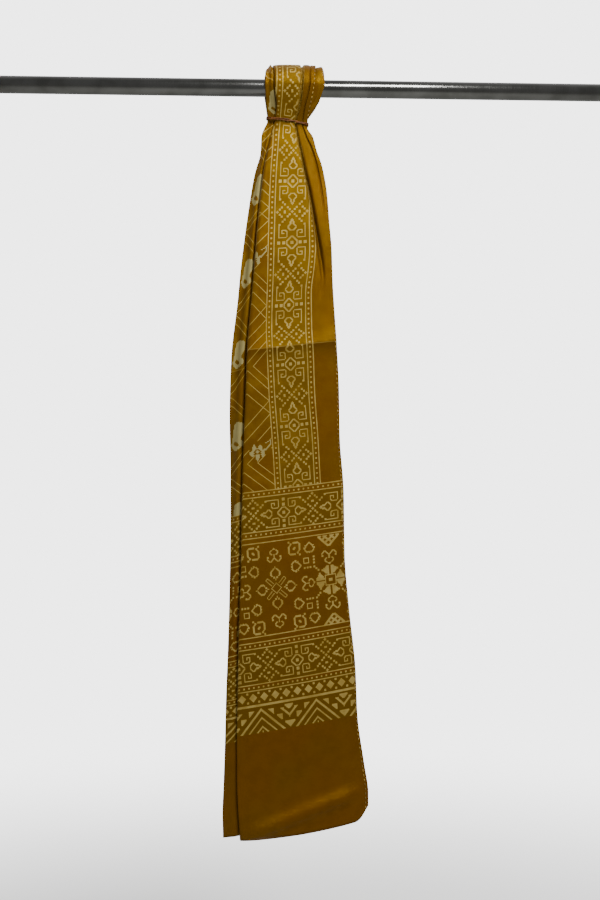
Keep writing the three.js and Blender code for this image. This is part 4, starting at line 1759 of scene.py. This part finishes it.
def hull_at_waist():
    """The outline of the gathered cloth, as seen from above, evenly stepped."""
    places = [corner.co / MM for corner in cloth.data.vertices]
    near_tie = [(co.x, co.y) for co in places if abs(co.z - tie_plane(co.x)) < TIE_REACH]
    hull = [Vector(near_tie[k]) for k in geometry.convex_hull_2d(near_tie)]
    middle = sum(hull, Vector((0, 0))) / len(hull)
    out = []
    for k in range(TIE_STEPS):
        angle = 2 * math.pi * k / TIE_STEPS
        way = Vector((math.cos(angle), math.sin(angle)))
        crossings = [
            geometry.intersect_line_line_2d(middle, middle + way * HULL_REACH, a, b)
            for a, b in zip(hull, hull[1:] + hull[:1])
        ]
        far = max((c - middle).length for c in crossings if c)
        out.append(middle + way * (far + ELASTIC_RADIUS + SILK_THICK / 2))
    return out


hull = hull_at_waist()
hull_ends = [min(place.x for place in hull), max(place.x for place in hull)]
print("the elastic's two ends across in mm:", [round(x, 1) for x in hull_ends])

# %% [markdown]
# Two turns are made, as rings of a tube bridged one to the next. Each turn lies a little above
# the one before and wavers, because an elastic never lies quite even. Each of its waves has a
# height, a number of crests round the waist and a phase. Its covering is braided, so a Voronoi
# pattern gives it small bumps with dark gaps.

# %% Elastic tie
ELASTIC_SIDES = 10
ELASTIC_RED = (0.08, 0.02, 0.001, 1)
ELASTIC_LIGHT = (0.14, 0.044, 0.001, 1)
ELASTIC_GAP = (0.034, 0.01, 0.001, 1)
TIE_TURNS = 2
TURN_RISE = 1.5
TURN_WAVES = ((0.5, 3, 2.1), (0.3, 7, 4.0))


def tube_along(shape, points, radius, sides, closed):
    """A tube of rings round a line of places in millimetres, bridged one to the next."""
    count = len(points)
    loops = []
    for k, point in enumerate(points):
        before = points[k - 1] if closed or k else points[0]
        after = points[(k + 1) % count] if closed or k < count - 1 else points[-1]
        along = (after - before).normalized()
        turn = along.to_track_quat("Z", "Y").to_matrix().to_4x4()
        ring = bmesh.ops.create_circle(
            shape,
            cap_ends=not closed and k in (0, count - 1),
            segments=sides,
            radius=radius * MM,
            matrix=Matrix.Translation(point * MM) @ turn,
        )
        loops.append(list({edge for vert in ring["verts"] for edge in vert.link_edges}))
    pairs = zip(loops, loops[1:] + loops[:1]) if closed else zip(loops, loops[1:])
    for first, second in pairs:
        bmesh.ops.bridge_loops(shape, edges=first + second)


tie_shape = bmesh.new()
for turn_number in range(TIE_TURNS):
    points = []
    for k, place in enumerate(hull):
        angle = 2 * math.pi * k / TIE_STEPS
        waves = [high * math.sin(n * angle + phase * turn_number) for high, n, phase in TURN_WAVES]
        rise = (turn_number - (TIE_TURNS - 1) / 2) * TURN_RISE + sum(waves)
        points.append(Vector((place.x, place.y, tie_plane(place.x) + rise)))
    tube_along(tie_shape, points, ELASTIC_RADIUS, ELASTIC_SIDES, closed=True)
bmesh.ops.recalc_face_normals(tie_shape, faces=tie_shape.faces)

elastic, tree, shader = new_material("covered_elastic")
shader.inputs["Specular IOR Level"].default_value = 0.2
place = tree.nodes.new("ShaderNodeTexCoord").outputs["Object"]
braid = tree.nodes.new("ShaderNodeTexVoronoi")
braid.inputs["Scale"].default_value = 1300
tree.links.new(place, braid.inputs["Vector"])
tone = blotches(tree, place, scale=120, low=0.35, high=0.65)
red = blend_colours(tree, tone, ELASTIC_RED, ELASTIC_LIGHT)
in_gap = ranged(tree, braid.outputs["Distance"], 0.25, 0.7)
red = blend_colours(tree, in_gap, red, ELASTIC_GAP)
tree.links.new(red, shader.inputs["Base Color"])
tree.links.new(ranged(tree, tone, 0, 1, 0.55, 0.75), shader.inputs["Roughness"])
add_bump(tree, shader, braid.outputs["Distance"], strength=0.7, distance=0.0004, inward=True)
tie = finished("elastic_tie", tie_shape, elastic)
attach(tie, "root")
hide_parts("tie_band")

# %% [markdown]
# A row of running stitches holds the selvedge. Each one is a short thick thread that bulges a
# little out of the cloth, so it is a small tube of four rings, laid along the folded edge.

# %% Stitches along the selvedge
STITCH_COLUMN = 2
STITCH_PITCH = 6.6
STITCH_LONG = 3.2
STITCH_RADIUS = 0.55
STITCH_SIDES = 6
STITCH_RINGS = 4
STITCH_PROUD = 0.25
STITCH_BULGE = 0.35
STITCH_START = 0.4
THREAD_PALE = (0.21, 0.135, 0.022, 1)
THREAD_WORN = (0.085, 0.046, 0.004, 1)

edge_line = [
    (pressed_place(number, STITCH_COLUMN), folded_place(number, STITCH_COLUMN)[1])
    for number in range(row_count)
]
edge_done = [0]
for (a, _), (b, _) in zip(edge_line, edge_line[1:]):
    edge_done.append(edge_done[-1] + (b - a).length)


def on_edge(distance):
    k = min(max(bisect.bisect(edge_done, distance) - 1, 0), row_count - 2)
    share = (distance - edge_done[k]) / (edge_done[k + 1] - edge_done[k])
    (a, out_a), (b, out_b) = edge_line[k], edge_line[k + 1]
    return a.lerp(b, share), out_a.lerp(out_b, share).normalized()


stitch_shape = bmesh.new()
stitch_count = int(edge_done[-1] / STITCH_PITCH)
for number in range(stitch_count):
    start = (number + STITCH_START) * STITCH_PITCH
    points = []
    for k in range(STITCH_RINGS):
        share = k / (STITCH_RINGS - 1)
        place, out = on_edge(start + STITCH_LONG * share)
        points.append(place + out * (STITCH_PROUD + STITCH_BULGE * math.sin(math.pi * share)))
    tube_along(stitch_shape, points, STITCH_RADIUS, STITCH_SIDES, closed=False)
bmesh.ops.recalc_face_normals(stitch_shape, faces=stitch_shape.faces)

thread, tree, shader = new_material("pale_thread")
place = tree.nodes.new("ShaderNodeTexCoord").outputs["Object"]
wear_and_painted_highlight = blotches(tree, place, scale=60, low=0.4, high=0.6)
tree.links.new(blend_colours(tree, wear_and_painted_highlight, THREAD_PALE, THREAD_WORN), shader.inputs["Base Color"])
tree.links.new(ranged(tree, wear_and_painted_highlight, 0, 1, 0.5, 0.7), shader.inputs["Roughness"])
stitches = finished("selvedge_stitches", stitch_shape, thread)
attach(stitches, "root")
print("stitches along the selvedge:", stitch_count)
